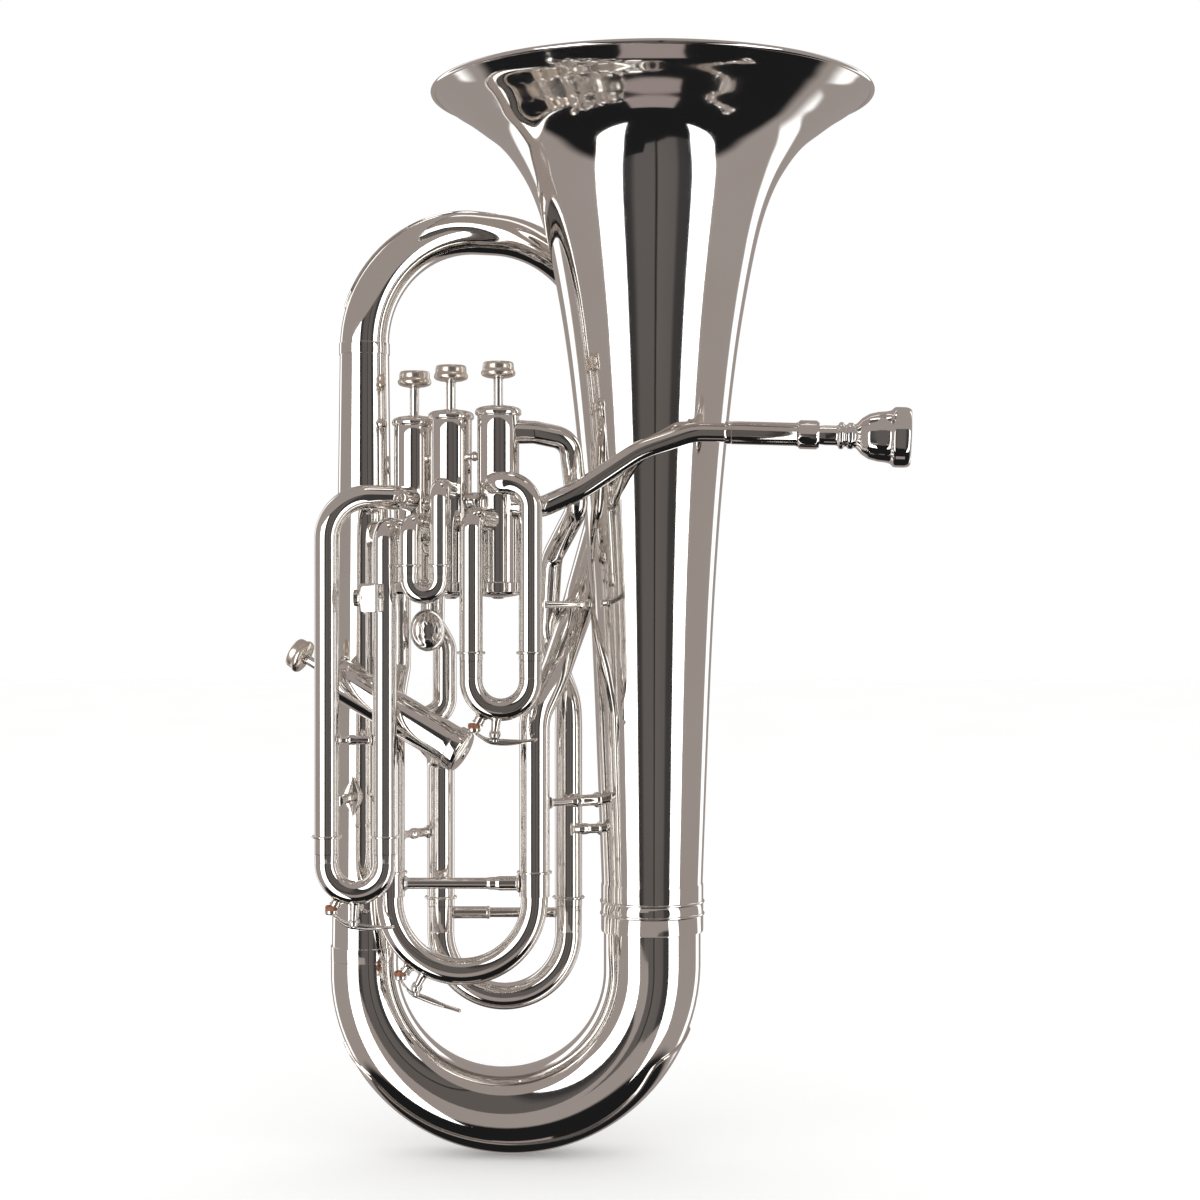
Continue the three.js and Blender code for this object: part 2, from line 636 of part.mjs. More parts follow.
function addBraces() {
  addMesh("bell_brace_upper", brace([19, -72, 372], [44.6, -20, 372], 2.2, 2.2, 0.8));
  addMesh("bell_brace_lower", brace([23.4, -28, 240], [50.6, -6, 240], 2.6, 3.6, 0.55));
  addMesh("third_slide_brace", brace([-114, THIRD.y, 284], [-94, THIRD.y, 284], 2.2, 2.8, 0.3));
  addMesh("main_slide_brace", brace([-74.2, MAIN.y, 187.5], [0.8, MAIN.y, 187.5], 3.4, 4, 0.7));
}

// Lyre socket on the third slide's right sleeve, held shut by a thumb screw on its left.
function addLyre() {
  const [x, y, z] = LYRE;
  const box = new THREE.BoxGeometry(13.5, 9, 18.5).translate(x, y, z);
  const slot = new THREE.BoxGeometry(8, 4.4, 30).translate(x, y, z);
  const hole = rod([x - 11, y, z], [x - 1, y, z], 2.2);
  addMesh("lyre_socket", cut(box, slot, hole));
  const screw = turnedSolid([[0, 0], [1.8, 0], [1.8, 4.4], [5.4, 4.4], [5.4, 7.4], [0, 7.4]]);
  addMesh("lyre_screw", screw.applyMatrix4(along([x - 3.4, y, z], [x - 17, y, z])));
}

// Water keys: a lever on a pin under each bow, with a cork at one end over the drain hole. A key is given
// by where its cork, pin and finger tip stand along X, its height, and how far its tip hangs down.
const KEYS = {
  first: { corkX: -26.5, pinX: -12.8, tipX: 8.5, z: 292, drop: 0.5 },
  third: { corkX: -121.5, pinX: -104.8, tipX: -78.6, z: 169, drop: 1 },
  main: { corkX: -80, pinX: -67, tipX: -41, z: 121, drop: 13 },
};

function waterKey({ y }, { corkX, pinX, tipX, z, drop }) {
  const leverZ = z - 4.2;
  const pinZ = z - 3.6;
  return join(
    new THREE.BoxGeometry(pinX - corkX, 4, 1.6).translate((pinX + corkX) / 2, y, leverZ),
    rod([pinX, y - 4, pinZ], [pinX, y + 4, pinZ], 2),
    rod([pinX, y, leverZ], [tipX, y, leverZ - drop], 2, 6),
    rod([corkX, y, z - 4.8], [corkX, y, z + 3], 3.2),
  );
}

function addWaterKeys() {
  addMesh("first_water_key", waterKey(FIRST, KEYS.first), BRASS);
  addMesh("third_water_key", waterKey(THIRD, KEYS.third), BRASS);
  addMesh("main_water_key", waterKey(MAIN, KEYS.main), BRASS);
}

function addBody() {
  addMesh("bell", bell());
  addMesh("bell_ferrule", ferrule());
  addMesh("bottom_bow", bottomBow());
  addMesh("bottom_bow_guard", bottomBowGuard());
  addMesh("ascending_branch", ascendingBranch());
  addMesh("top_bow", topBow());
  addMesh("top_bow_guard", topBowGuard());
  addMesh("rear_branch", rearBranch());
}

addBody();
addTopValves();
addFourthValve();
addSlides();
addLinks();
addMouthEnd();
addBraces();
addLyre();
addWaterKeys();

export default part;
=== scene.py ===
"""A silver-plated compensating euphonium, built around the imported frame. Lengths below are millimetres."""
import math

import bpy
from mathutils import Matrix, Vector


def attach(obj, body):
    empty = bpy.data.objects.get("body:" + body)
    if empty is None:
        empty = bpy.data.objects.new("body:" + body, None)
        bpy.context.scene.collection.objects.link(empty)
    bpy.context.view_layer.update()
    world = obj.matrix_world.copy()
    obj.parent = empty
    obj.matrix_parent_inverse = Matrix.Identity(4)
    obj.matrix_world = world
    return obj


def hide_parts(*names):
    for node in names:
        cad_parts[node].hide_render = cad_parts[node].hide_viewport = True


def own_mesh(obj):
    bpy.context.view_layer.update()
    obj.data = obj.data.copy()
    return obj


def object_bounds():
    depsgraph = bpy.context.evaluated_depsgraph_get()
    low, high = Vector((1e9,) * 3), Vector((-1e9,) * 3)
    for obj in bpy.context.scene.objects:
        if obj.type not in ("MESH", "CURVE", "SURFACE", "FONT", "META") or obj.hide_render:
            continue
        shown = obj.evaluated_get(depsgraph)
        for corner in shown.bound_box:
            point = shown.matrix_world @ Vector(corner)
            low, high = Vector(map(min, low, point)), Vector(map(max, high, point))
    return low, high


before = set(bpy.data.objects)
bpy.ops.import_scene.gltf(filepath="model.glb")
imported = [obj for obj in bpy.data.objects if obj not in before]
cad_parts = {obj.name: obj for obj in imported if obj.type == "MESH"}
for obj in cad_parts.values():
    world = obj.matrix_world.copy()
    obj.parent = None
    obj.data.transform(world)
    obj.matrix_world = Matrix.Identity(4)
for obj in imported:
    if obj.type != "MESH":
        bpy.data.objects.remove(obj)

MM = 0.001
CAD_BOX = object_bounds()
BODY = "horn"

# ---- driving sizes, mostly as in the CAD part
GAP = 0.3
BELL_X = 90.4
RIM_Z = 719.0
RIM_R = 150
RIM_ROLL = 1.7
BELL_END_Z = 162.0
BELL_END_R = 33.4
FERRULE = dict(low=150.8, high=183.4, inner=33.5, outer=34.65, bead=4.1)
BOW_Z = 127.0
BOW_STUB = 8.0
BOW_RADII = [33.2, 31.0, 28.6, 25.4, 22.0]
GUARD_THICK = 0.5
GUARD_CLEAR = 0.02
GUARD_WIRE_R = 0.8
BOW_BEND = BOW_Z - BOW_RADII[2] - GAP - GUARD_THICK
BRANCH_X = BELL_X - 2 * BOW_BEND
BRANCH_TOP_Z = 545.0
TOP_BOW_Z = 629.0
TOP_BOW_END = (57.0, 72.0, 545.0)
TOP_BOW_RADII = [16.6, 15.0, 13.6, 13.0]
TOP_BOW_BEND = 82
CASING_R = 13.75
CASING_WALL = 0.9
CASING_BOTTOM_Z = 381.0
CASING_TOP_Z = 497.0
INTO_CASING = 0.15
CAP_R = 15.25
VALVE_XY = [(-12.0, -45.0), (-44.0, -32.0), (-70.0, -10.0)]
PISTON_R = 12.5
PISTON_BOTTOM_Z = 425.0
PISTON_TOP_Z = 492.0
STEM_R = 3.0
BUTTON_Z = 521.4
BUTTON_MIDDLE = 5.5
FOURTH_BUTTON = Vector((-145.4, -24.5, 338.3))
FOURTH_CAP = Vector((-35.4, -52.5, 275.4))
FOURTH_R = 13.4
FOURTH_SHORTER = 18.0
WALL = 0.7
INLET_R = 7.2
LOOP_R = 7.9
COMPENSATING_R = 6.6
MAIN = dict(left=-85, right=11.4, y=-30, mouth=178, ring=194, bow=176, outer=10.1, inner=9.0, grip=70)
FIRST = dict(left=-28.1, right=10.2, y=-76.5, mouth=336, ring=341, bow=323.4, outer=7.5, inner=6.5, grip=60)
SECOND = dict(left=-68.3, right=-48.7, y=-75, mouth=392, ring=397, bow=388.5, outer=6.5, inner=5.6, grip=24)
THIRD = dict(left=-122.8, right=-85.1, y=-63, mouth=210, ring=221, bow=203.4, outer=8.0, inner=7.0, grip=80)
FOURTH = dict(left=-53, right=33.6, y=0, mouth=168, ring=173.5, bow=149.5, outer=9.25, inner=8.3, grip=60)
RING_THICK = 0.95
SEAM_ABOVE_BOW = 1
VALVE_DROP = [0.2, 1.9, 4.2, 0]
BUTTON_DROP = [0.2, 1.2, 2.9, 0]
LYRE_Z = 376.4
MOUTH_START = Vector((137, -62, 484))
MOUTH_END = Vector((256, -74, 479.8))

# ---- studio
CAMERA_AT = Vector((55, -1516, 375))
LENS = 67.02
SENSOR = 36
FLOOR_HALF = 9000
FLOOR_BELOW = 0.4
REFLECTOR_Y = -650.0
WALL_TONE = (0.335, 0.295, 0.278)

# ---- fineness of the visible meshes
ROUND = 56
BELL_ROUND = 160
LATHE_ROUND = 72
BEND_STEP = math.radians(4)
STRAIGHT_STEP = 9.0
SMOOTH_ANGLE = math.radians(34)


# ==== mesh helpers
def make_object(name, vertices, faces, material):
    mesh = bpy.data.meshes.new(name)
    mesh.from_pydata([tuple(Vector(v) * MM) for v in vertices], [], faces)
    mesh.validate()
    mesh.update()
    mesh.shade_smooth()
    mesh.set_sharp_from_angle(angle=SMOOTH_ANGLE)
    mesh.materials.append(material)
    obj = bpy.data.objects.new(name, mesh)
    bpy.context.scene.collection.objects.link(obj)
    return obj


def place(obj, body=BODY, nodes=()):
    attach(obj, body)
    if nodes:
        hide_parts(*nodes)
    return obj


def bent_line(corners, bends):
    """Points along straight runs joined by round bends, close enough together for smooth sweeps."""
    points = [Vector(c) for c in corners]
    if not isinstance(bends, (list, tuple)):
        bends = [bends] * (len(points) - 2)
    line = [points[0].copy()]
    for i, bend in enumerate(bends, start=1):
        before = (points[i - 1] - points[i]).normalized()
        after = (points[i + 1] - points[i]).normalized()
        opening = before.angle(after)
        if bend <= 0 or math.pi - opening < 1e-4:
            line.append(points[i].copy())
            continue
        setback = bend / math.tan(opening / 2)
        centre = points[i] + (before + after).normalized() * (bend / math.sin(opening / 2))
        start = points[i] + before * setback - centre
        end = points[i] + after * setback - centre
        axis = start.cross(end).normalized()
        sweep = math.pi - opening
        steps = max(2, math.ceil(sweep / BEND_STEP))
        for s in range(steps + 1):
            line.append(Matrix.Rotation(sweep * s / steps, 3, axis) @ start + centre)
    line.append(points[-1].copy())
    return subdivided(line)


def subdivided(line):
    """The same line with long straight runs split."""
    out = [line[0]]
    for point in line[1:]:
        gap = (point - out[-1]).length
        if gap < 0.05:
            continue
        start = out[-1]
        pieces = max(1, math.ceil(gap / STRAIGHT_STEP))
        for k in range(1, pieces + 1):
            out.append(start.lerp(point, k / pieces))
    return out


def lengths_along(line):
    lengths = [0.0]
    for a, b in zip(line, line[1:]):
        lengths.append(lengths[-1] + (b - a).length)
    return lengths


def spread(values, share):
    """A value at a share of the way through a list, eased between its members."""
    if not isinstance(values, (list, tuple)):
        return values
    at = min(max(share, 0.0), 1.0) * (len(values) - 1)
    low = min(len(values) - 2, int(at))
    return values[low] + (values[low + 1] - values[low]) * (at - low)


def curve_at(p0, p1, p2, p3, t):
    """A Catmull-Rom curve between p1 and p2, of numbers or of vectors."""
    square = 2 * p0 - 5 * p1 + 4 * p2 - p3
    cube = 3 * p1 - p0 - 3 * p2 + p3
    return 0.5 * (2 * p1 + (p2 - p0) * t + square * t ** 2 + cube * t ** 3)


def eased(values, share):
    """Like spread, but smooth through its members."""
    at = min(max(share, 0.0), 1.0) * (len(values) - 1)
    low = min(len(values) - 2, int(at))
    after = values[min(len(values) - 1, low + 2)]
    return curve_at(values[max(0, low - 1)], values[low], values[low + 1], after, at - low)


def frames_along(line, side=(1, 0, 0)):
    normal = Vector(side)
    frames = []
    for i, point in enumerate(line):
        tangent = (line[min(i + 1, len(line) - 1)] - line[max(i - 1, 0)]).normalized()
        normal = (normal - tangent * normal.dot(tangent)).normalized()
        frames.append((point, tangent, normal, tangent.cross(normal)))
    return frames


def ring_at(frame_at, radius, count=ROUND):
    point, _, normal, other = frame_at
    turn = 2 * math.pi / count
    ring = []
    for k in range(count):
        ring.append(point + normal * (radius * math.cos(k * turn)) + other * (radius * math.sin(k * turn)))
    return ring


def stitch(rings, closed_loop=False, capped=False):
    """Vertices and quads of rings joined in order, with flat ends where asked."""
    count = len(rings[0])
    vertices = [v for ring in rings for v in ring]
    faces = []
    total = len(rings)
    for i in range(total if closed_loop else total - 1):
        a = i * count
        b = ((i + 1) % total) * count
        for k in range(count):
            n = (k + 1) % count
            faces.append((a + k, a + n, b + n, b + k))
    if capped:
        faces.append(tuple(range(count))[::-1])
        faces.append(tuple(range((total - 1) * count, total * count)))
    return vertices, faces


def land_on(ring, tangent, casing):
    """Moves an end ring's points along the pipe until they meet a round casing's wall."""
    base, axis, radius = casing
    landed = []
    for point in ring:
        across = point - base
        across -= axis * across.dot(axis)
        push = tangent - axis * tangent.dot(axis)
        a = push.dot(push)
        b = 2 * across.dot(push)
        c = across.dot(across) - radius * radius
        inside = b * b - 4 * a * c
        travel = (-b - math.sqrt(inside)) / (2 * a) if inside > 0 and a > 1e-6 else 0.0
        landed.append(point + tangent * travel)
    return landed


def stop_before(line, casing, reach):
    """Ends a line where it comes within reach of a casing's axis."""
    base, axis, radius = casing
    kept = [line[0]]
    for point in line[1:]:
        across = point - base
        across -= axis * across.dot(axis)
        if across.length < radius + reach:
            break
        kept.append(point)
    return kept


def pipe_rings(line, outer, wall, side, casing, flare):
    if casing:
        line = stop_before(line, casing, 1.5)
    lengths = lengths_along(line)
    frames = frames_along(line, side)
    shares = [length / lengths[-1] for length in lengths]
    radii = [outer(p) if callable(outer) else spread(outer, s) for p, s in zip(line, shares)]
    outside = [ring_at(f, r) for f, r in zip(frames, radii)]
    inside = [ring_at(f, r - wall) for f, r in zip(frames, radii)]
    if casing:
        tangent = frames[-1][1]
        foot = ring_at(frames[-1], radii[-1] * flare)
        outside.append(land_on(foot, tangent, casing))
        inside.append(land_on(inside[-1], tangent, casing))
    return outside, inside


def pipe(name, line, outer, material, wall=WALL, side=(1, 0, 0), casing=None, flare=1.05):
    """A thin-walled pipe, open at both ends, with its far end shaped to a casing where one is given."""
    outside, inside = pipe_rings(line, outer, wall, side, casing, flare)
    vertices, faces = stitch(outside + inside[::-1], closed_loop=True)
    return make_object(name, vertices, faces, material)


def soften(profile, radius, closed=True, steps=4):
    """Rounds a profile's corners with small arcs."""
    points = [Vector((r, z)) for r, z in profile]
    count = len(points)
    out = []
    for i, corner in enumerate(points):
        if not closed and i in (0, count - 1):
            out.append(corner)
            continue
        before = points[i - 1] - corner
        after = points[(i + 1) % count] - corner
        reach = min(radius, 0.45 * before.length, 0.45 * after.length)
        start = corner + before.normalized() * reach
        end = corner + after.normalized() * reach
        for s in range(steps + 1):
            t = s / steps
            out.append(start * (1 - t) ** 2 + corner * 2 * t * (1 - t) + end * t * t)
    return [(p.x, p.y) for p in out]


def lathe(name, profile, material, matrix=None, count=LATHE_ROUND, closed=True, ridges=None):
    """A solid of revolution about Z. ridges, if given, changes a radius by angle, for knurling."""
    rings = []
    for r, z in profile:
        ring = []
        for k in range(count):
            angle = 2 * math.pi * k / count
            rr = ridges(r, z, k) if ridges else r
            ring.append(Vector((rr * math.cos(angle), rr * math.sin(angle), z)))
        rings.append(ring)
    vertices, faces = stitch(rings, closed_loop=closed, capped=not closed)
    if matrix:
        vertices = [matrix @ v for v in vertices]
    return make_object(name, vertices, faces, material)


def turned(origin, direction):
    """The placement that stands +Z along a direction, from an origin."""
    turn = Vector((0, 0, 1)).rotation_difference(direction).to_matrix().to_4x4()
    return Matrix.Translation(Vector(origin)) @ turn


def along(start, end):
    return turned(start, (Vector(end) - Vector(start)).normalized())


def bead(name, centre, radius, thick, material, direction=(0, 0, 1), count=ROUND):
    """A wire ring round a tube."""
    centre = Vector(centre)
    matrix = along(centre, centre + Vector(direction))
    profile = []
    for k in range(12):
        angle = 2 * math.pi * k / 12
        profile.append((radius + thick * math.cos(angle), thick * math.sin(angle)))
    return lathe(name, profile, material, matrix, count)


def joined(name, parts):
    """Joins objects into one piece."""
    bpy.ops.object.select_all(action="DESELECT")
    for part in parts:
        part.select_set(True)
    bpy.context.view_layer.objects.active = parts[0]
    bpy.ops.object.join()
    piece = bpy.context.view_layer.objects.active
    piece.name = name
    piece.data.name = name
    return piece


# ==== materials
def new_material(name):
    material = bpy.data.materials.new(name)
    material.use_nodes = True
    return material, material.node_tree.nodes, material.node_tree.links


def noise_node(nodes, links, coordinates, scale, detail=3.0):
    noise = nodes.new("ShaderNodeTexNoise")
    noise.inputs["Scale"].default_value = scale
    noise.inputs["Detail"].default_value = detail
    links.new(coordinates, noise.inputs["Vector"])
    return noise.outputs["Fac"]


def ramp_node(nodes, links, factor, stops):
    ramp = nodes.new("ShaderNodeValToRGB")
    while len(ramp.color_ramp.elements) < len(stops):
        ramp.color_ramp.elements.new(0.5)
    for element, (position, colour) in zip(ramp.color_ramp.elements, stops):
        element.position = position
        element.color = (*colour, 1)
    links.new(factor, ramp.inputs["Fac"])
    return ramp.outputs["Color"]


def range_node(nodes, links, value, low, high):
    node = nodes.new("ShaderNodeMapRange")
    node.inputs["To Min"].default_value = low
    node.inputs["To Max"].default_value = high
    links.new(value, node.inputs["Value"])
    return node.outputs["Result"]


def bump_node(nodes, links, height, strength, distance):
    bump = nodes.new("ShaderNodeBump")
    bump.inputs["Strength"].default_value = strength
    bump.inputs["Distance"].default_value = distance
    links.new(height, bump.inputs["Height"])
    return bump.outputs["Normal"]


def plated(name, light, dark, smooth, rough, ripple=0.02):
    """Plated metal: its tone drifts, wiping has left its gloss uneven, and its wall ripples faintly."""
    material, nodes, links = new_material(name)
    shader = nodes["Principled BSDF"]
    shader.inputs["Metallic"].default_value = 1.0
    place_at = nodes.new("ShaderNodeTexCoord").outputs["Object"]
    drift = noise_node(nodes, links, place_at, 9.0, 4.0)
    links.new(ramp_node(nodes, links, drift, [(0.35, dark), (0.65, light)]), shader.inputs["Base Color"])
    wiping = noise_node(nodes, links, place_at, 55.0, 5.0)
    links.new(range_node(nodes, links, wiping, smooth, rough), shader.inputs["Roughness"])
    dents = noise_node(nodes, links, place_at, 38.0, 2.0)
    links.new(bump_node(nodes, links, dents, ripple, 0.002), shader.inputs["Normal"])
    return material


def speckled(name, light, dark, roughness, scale, depth):
    """A matt, grainy material, such as cork."""
    material, nodes, links = new_material(name)
    shader = nodes["Principled BSDF"]
    shader.inputs["Roughness"].default_value = roughness
    place_at = nodes.new("ShaderNodeTexCoord").outputs["Object"]
    grain = noise_node(nodes, links, place_at, scale, 6.0)
    links.new(ramp_node(nodes, links, grain, [(0.38, dark), (0.62, light)]), shader.inputs["Base Color"])
    links.new(bump_node(nodes, links, grain, 0.6, depth), shader.inputs["Normal"])
    return material


SILVER = plated("silver_plate", (0.93, 0.905, 0.88), (0.87, 0.84, 0.80), 0.035, 0.085)
SILVER_SMALL = plated("silver_plate_small", (0.93, 0.90, 0.87), (0.84, 0.80, 0.75), 0.05, 0.13, 0.03)
BUTTON = plated("button_plate", (0.88, 0.81, 0.73), (0.76, 0.68, 0.59), 0.2, 0.31)
PISTON = plated("piston_metal", (0.72, 0.72, 0.71), (0.62, 0.62, 0.60), 0.2, 0.34)
STEEL = plated("spring_steel", (0.55, 0.55, 0.55), (0.4, 0.4, 0.4), 0.25, 0.4)
CORK = speckled("cork", (0.42, 0.17, 0.08), (0.16, 0.06, 0.03), 0.8, 900.0, 0.0003)


# ==== bell and bows
BELL_OUTLINE = [
    (0, RIM_R), (4.5, 144.5), (10, 137.5), (16, 128), (24, 117), (33.7, 104.6), (47, 93.5), (66, 82.5),
    (92, 73.4), (130, 65.2), (174, 57.9), (230, 51.2), (300, 45), (390, 39.8),
    (RIM_Z - BELL_END_Z, BELL_END_R),
]


def smooth_through(points, steps):
    """A smooth curve through 2D points."""
    padded = [Vector(p) for p in points[:1] + points + points[-1:]]
    out = []
    for i in range(len(points) - 1):
        out += [tuple(curve_at(*padded[i:i + 4], s / steps)) for s in range(steps)]
    return out + points[-1:]


def bell():
    curve = smooth_through(BELL_OUTLINE, 7)
    outside = [(r, RIM_Z - drop) for drop, r in curve][::-1]
    outside = [p for p in outside if p[1] < RIM_Z - 2.2]
    rolled = []
    for k in range(15):
        angle = math.radians(-130 + 250 * k / 14)
        across, up = RIM_ROLL * math.cos(angle), RIM_ROLL * math.sin(angle)
        rolled.append((RIM_R - RIM_ROLL + across, RIM_Z - RIM_ROLL + up))
    inside = [(r - 1.15, RIM_Z - drop + 0.75) for drop, r in curve if drop > 3.2]
    inside[-1] = (BELL_END_R - 0.8, BELL_END_Z)
    matrix = Matrix.Translation((BELL_X, 0, 0))
    obj = lathe("bell_shell", outside + rolled + inside, SILVER, matrix, BELL_ROUND)
    return place(obj, nodes=["bell"])


def bell_ferrule():
    inner, outer, low, high = (FERRULE[key] for key in ("inner", "outer", "low", "high"))
    middle = (low + high) / 2
    profile = [(inner, low), (outer - 0.3, low), (outer, low + 1)]
    for z in (middle - FERRULE["bead"], middle + FERRULE["bead"]):
        profile.append((outer, z - 1.2))
        for k in range(9):
            angle = math.radians(-90 + 180 * k / 8)
            profile.append((outer + 0.15 + 0.75 * math.cos(angle), z + 0.9 * math.sin(angle)))
        profile.append((outer, z + 1.2))
    profile += [(outer, high - 1), (outer - 0.3, high), (inner, high)]
    matrix = Matrix.Translation((BELL_X, 0, 0))
    obj = lathe("bell_ferrule_ring", profile, SILVER, matrix, 96)
    return place(obj, nodes=["bell_ferrule"])


BOW_CORNERS = [
    (BELL_X, 0, BELL_END_Z - GAP), (BELL_X, 0, BOW_Z - BOW_BEND), (BRANCH_X, 0, BOW_Z - BOW_BEND),
    (BRANCH_X, 0, BOW_Z + BOW_STUB),
]


def bow_radius(point):
    """Tube radius by place round the bow: from the bell side, down under and up the branch side."""
    centre = Vector(((BELL_X + BRANCH_X) / 2, 0, BOW_Z))
    offset = point - centre
    if offset.z >= 0:
        return spread(BOW_RADII, 0.045 if offset.x > 0 else 0.955)
    angle = math.atan2(-offset.z, offset.x)
    return spread(BOW_RADII, 0.045 + 0.91 * angle / math.pi)


def bottom_bow():
    line = bent_line(BOW_CORNERS, BOW_BEND)
    obj = pipe("bottom_bow_tube", line, bow_radius, SILVER, wall=1.0)
    return place(obj, nodes=["bottom_bow"])


def guard(name, line, radius_of, half_angle_of, side, node):
    """A plate that hugs the outside of a bend, edged with a raised wire; half_angle_of sets its width."""
    frames = frames_along(line, side)
    strips = 24
    rings = []
    for i, at in enumerate(frames):
        half = half_angle_of(i / (len(frames) - 1))
        radius = radius_of(at[0])
        ring = []
        for lift, order in ((GUARD_THICK, range(strips + 1)), (GUARD_CLEAR, range(strips, -1, -1))):
            for k in order:
                angle = half * (2 * k / strips - 1)
                ring.append(at[0] + (at[2] * math.cos(angle) + at[3] * math.sin(angle)) * (radius + lift))
        rings.append(ring)
    vertices, faces = stitch(rings, capped=True)
    plate = make_object(name, vertices, faces, SILVER)
    edge = [ring[0] for ring in rings] + [ring[strips] for ring in reversed(rings)]
    wire = closed_wire(name + "_wire", edge, GUARD_WIRE_R)
    return place(joined(name, [plate, wire]), nodes=[node])


def closed_wire(name, points, radius, count=10):
    """A round wire that follows a closed loop of points."""
    total = len(points)
    rings = []
    normal = Vector((0, 1, 0))
    for i, point in enumerate(points):
        tangent = (points[(i + 1) % total] - points[i - 1]).normalized()
        normal = (normal - tangent * normal.dot(tangent)).normalized()
        rings.append(ring_at((point, tangent, normal, tangent.cross(normal)), radius, count))
    vertices, faces = stitch(rings, closed_loop=True)
    return make_object(name, vertices, faces, SILVER_SMALL)


GUARD_START = -19.0
GUARD_SWEEP = 136.0
GUARD_HALF = [5, 49, 46, 44, 45, 49, 51, 50, 47, 44, 39, 6]


def bottom_bow_guard():
    centre = Vector(((BELL_X + BRANCH_X) / 2, 0, BOW_Z))
    line = []
    steps = 110
    for i in range(steps + 1):
        angle = math.radians(GUARD_START - GUARD_SWEEP * i / steps)
        line.append(centre + Vector((math.cos(angle), 0, math.sin(angle))) * BOW_BEND)

    def half(share):
        return math.radians(eased(GUARD_HALF, share))

    return guard("bottom_bow_guard_plate", line, bow_radius, half, (1, 0, 0), "bottom_bow_guard")


def ascending_branch():
    line = subdivided([Vector((BRANCH_X, 0, BOW_Z + BOW_STUB + GAP)), Vector((BRANCH_X, 0, BRANCH_TOP_Z))])
    obj = pipe("ascending_branch_tube", line, [BOW_RADII[-1], TOP_BOW_RADII[0]], SILVER, wall=1.0)
    band = soften([(21.9, 131), (22.75, 131), (22.75, 141), (21.9, 141)], 0.5)
    place(lathe("branch_joint_band", band, SILVER, Matrix.Translation((BRANCH_X, 0, 0))))
    return place(obj, nodes=["ascending_branch"])


def top_bow_line():
    x, y, _ = TOP_BOW_END
    corners = [(BRANCH_X, 0, BRANCH_TOP_Z + GAP), (BRANCH_X, 0, TOP_BOW_Z), (x, y, TOP_BOW_Z), TOP_BOW_END]
    return bent_line(corners, TOP_BOW_BEND)


def top_bow():
    obj = pipe("top_bow_tube", top_bow_line(), TOP_BOW_RADII, SILVER, wall=0.9, side=(-1, 0, 0))
    place(obj, nodes=["top_bow"])
    for name, point, radius in (
        ("top_bow_band", (BRANCH_X, 0, BRANCH_TOP_Z), TOP_BOW_RADII[0]),
        ("rear_branch_band", TOP_BOW_END, TOP_BOW_RADII[-1]),
    ):
        band = [(radius - 0.2, -4), (radius + 0.55, -4), (radius + 0.55, 4), (radius - 0.2, 4)]
        place(lathe(name, soften(band, 0.5), SILVER, Matrix.Translation(Vector(point))))


def top_bow_guard():
    line = top_bow_line()
    lengths = lengths_along(line)
    arc = [p for p, length in zip(line, lengths) if 22 < length < 150]

    def radius_of(point):
        nearest = min(range(len(line)), key=lambda i: (line[i] - point).length)
        return spread(TOP_BOW_RADII, lengths[nearest] / lengths[-1])

    def half(share):
        return math.radians(10 + 22 * math.sin(math.pi * min(max(share, 0.0), 1.0)) ** 0.5)

    return guard("top_bow_guard_plate", arc, radius_of, half, (-1, 0, 0), "top_bow_guard")


def rear_branch():
    x, y, z = TOP_BOW_END
    corners = [
        (MAIN["right"], MAIN["y"], MAIN["mouth"]), (MAIN["right"], MAIN["y"], 298), (24, -16, 324),
        (41, 25, 374), (57, 56, 430), (x, y, 490), (x, y, z - GAP),
    ]
    radii = [10.1, 10.1, 10.1, 10.6, 11.6, 12.4, 13, 13]
    obj = pipe("rear_branch_tube", bent_line(corners, [26, 60, 60, 60, 60]), radii, SILVER, wall=0.8)
    return place(obj, nodes=["rear_branch"])


# ==== valves
def casing_of(index):
    x, y = VALVE_XY[index]
    return Vector((x, y, 0)), Vector((0, 0, 1)), CASING_R - INTO_CASING


FOURTH_UP = (FOURTH_BUTTON - FOURTH_CAP).normalized()
FOURTH_CASING = (FOURTH_BUTTON, FOURTH_UP, FOURTH_R - INTO_CASING)


def casing_tube(name, radius, bottom, top, matrix):
    bore = radius - CASING_WALL
    profile = [(bore, bottom), (radius - 0.1, bottom), (radius, bottom + 0.2)]
    profile += [(radius, bottom + (top - bottom) * k / 10) for k in range(1, 10)]
    profile += [(radius, top - 0.2), (radius - 0.1, top), (bore, top)]
    return lathe(name, profile, SILVER, matrix, 96)


def valve_block():
    parts = []
    for i, (x, y) in enumerate(VALVE_XY):
        top, matrix = CASING_TOP_Z - VALVE_DROP[i], Matrix.Translation((x, y, 0))
        parts.append(casing_tube(f"casing_{i}", CASING_R, CASING_BOTTOM_Z, top, matrix))
    for a, b in ((0, 1), (1, 2)):
        start = Vector((*VALVE_XY[a], 0))
        end = Vector((*VALVE_XY[b], 0))
        matrix = along(start, end)
        span = (end - start).length
        low, high = CASING_R - 0.6, span - CASING_R + 0.6
        middle = span / 2
        for z, radius, ball in ((470, 1.5, 3.3), (440, 5.6, 6.2), (410, 5.6, 6.2), (386, 1.5, 3.0)):
            profile = [(radius, low)]
            for k in range(9):
                angle = math.radians(-60 + 120 * k / 8)
                bulge = (ball - radius) * math.cos(angle)
                profile.append((radius + bulge, middle + ball * 0.55 * math.sin(angle)))
            profile.append((radius, high))
            shift = Matrix.Translation((0, 0, z)) @ matrix
            parts.append(lathe("link", profile, SILVER_SMALL, shift, 32, closed=False))
    return place(joined("valve_block_shell", parts), nodes=["valve_block"])


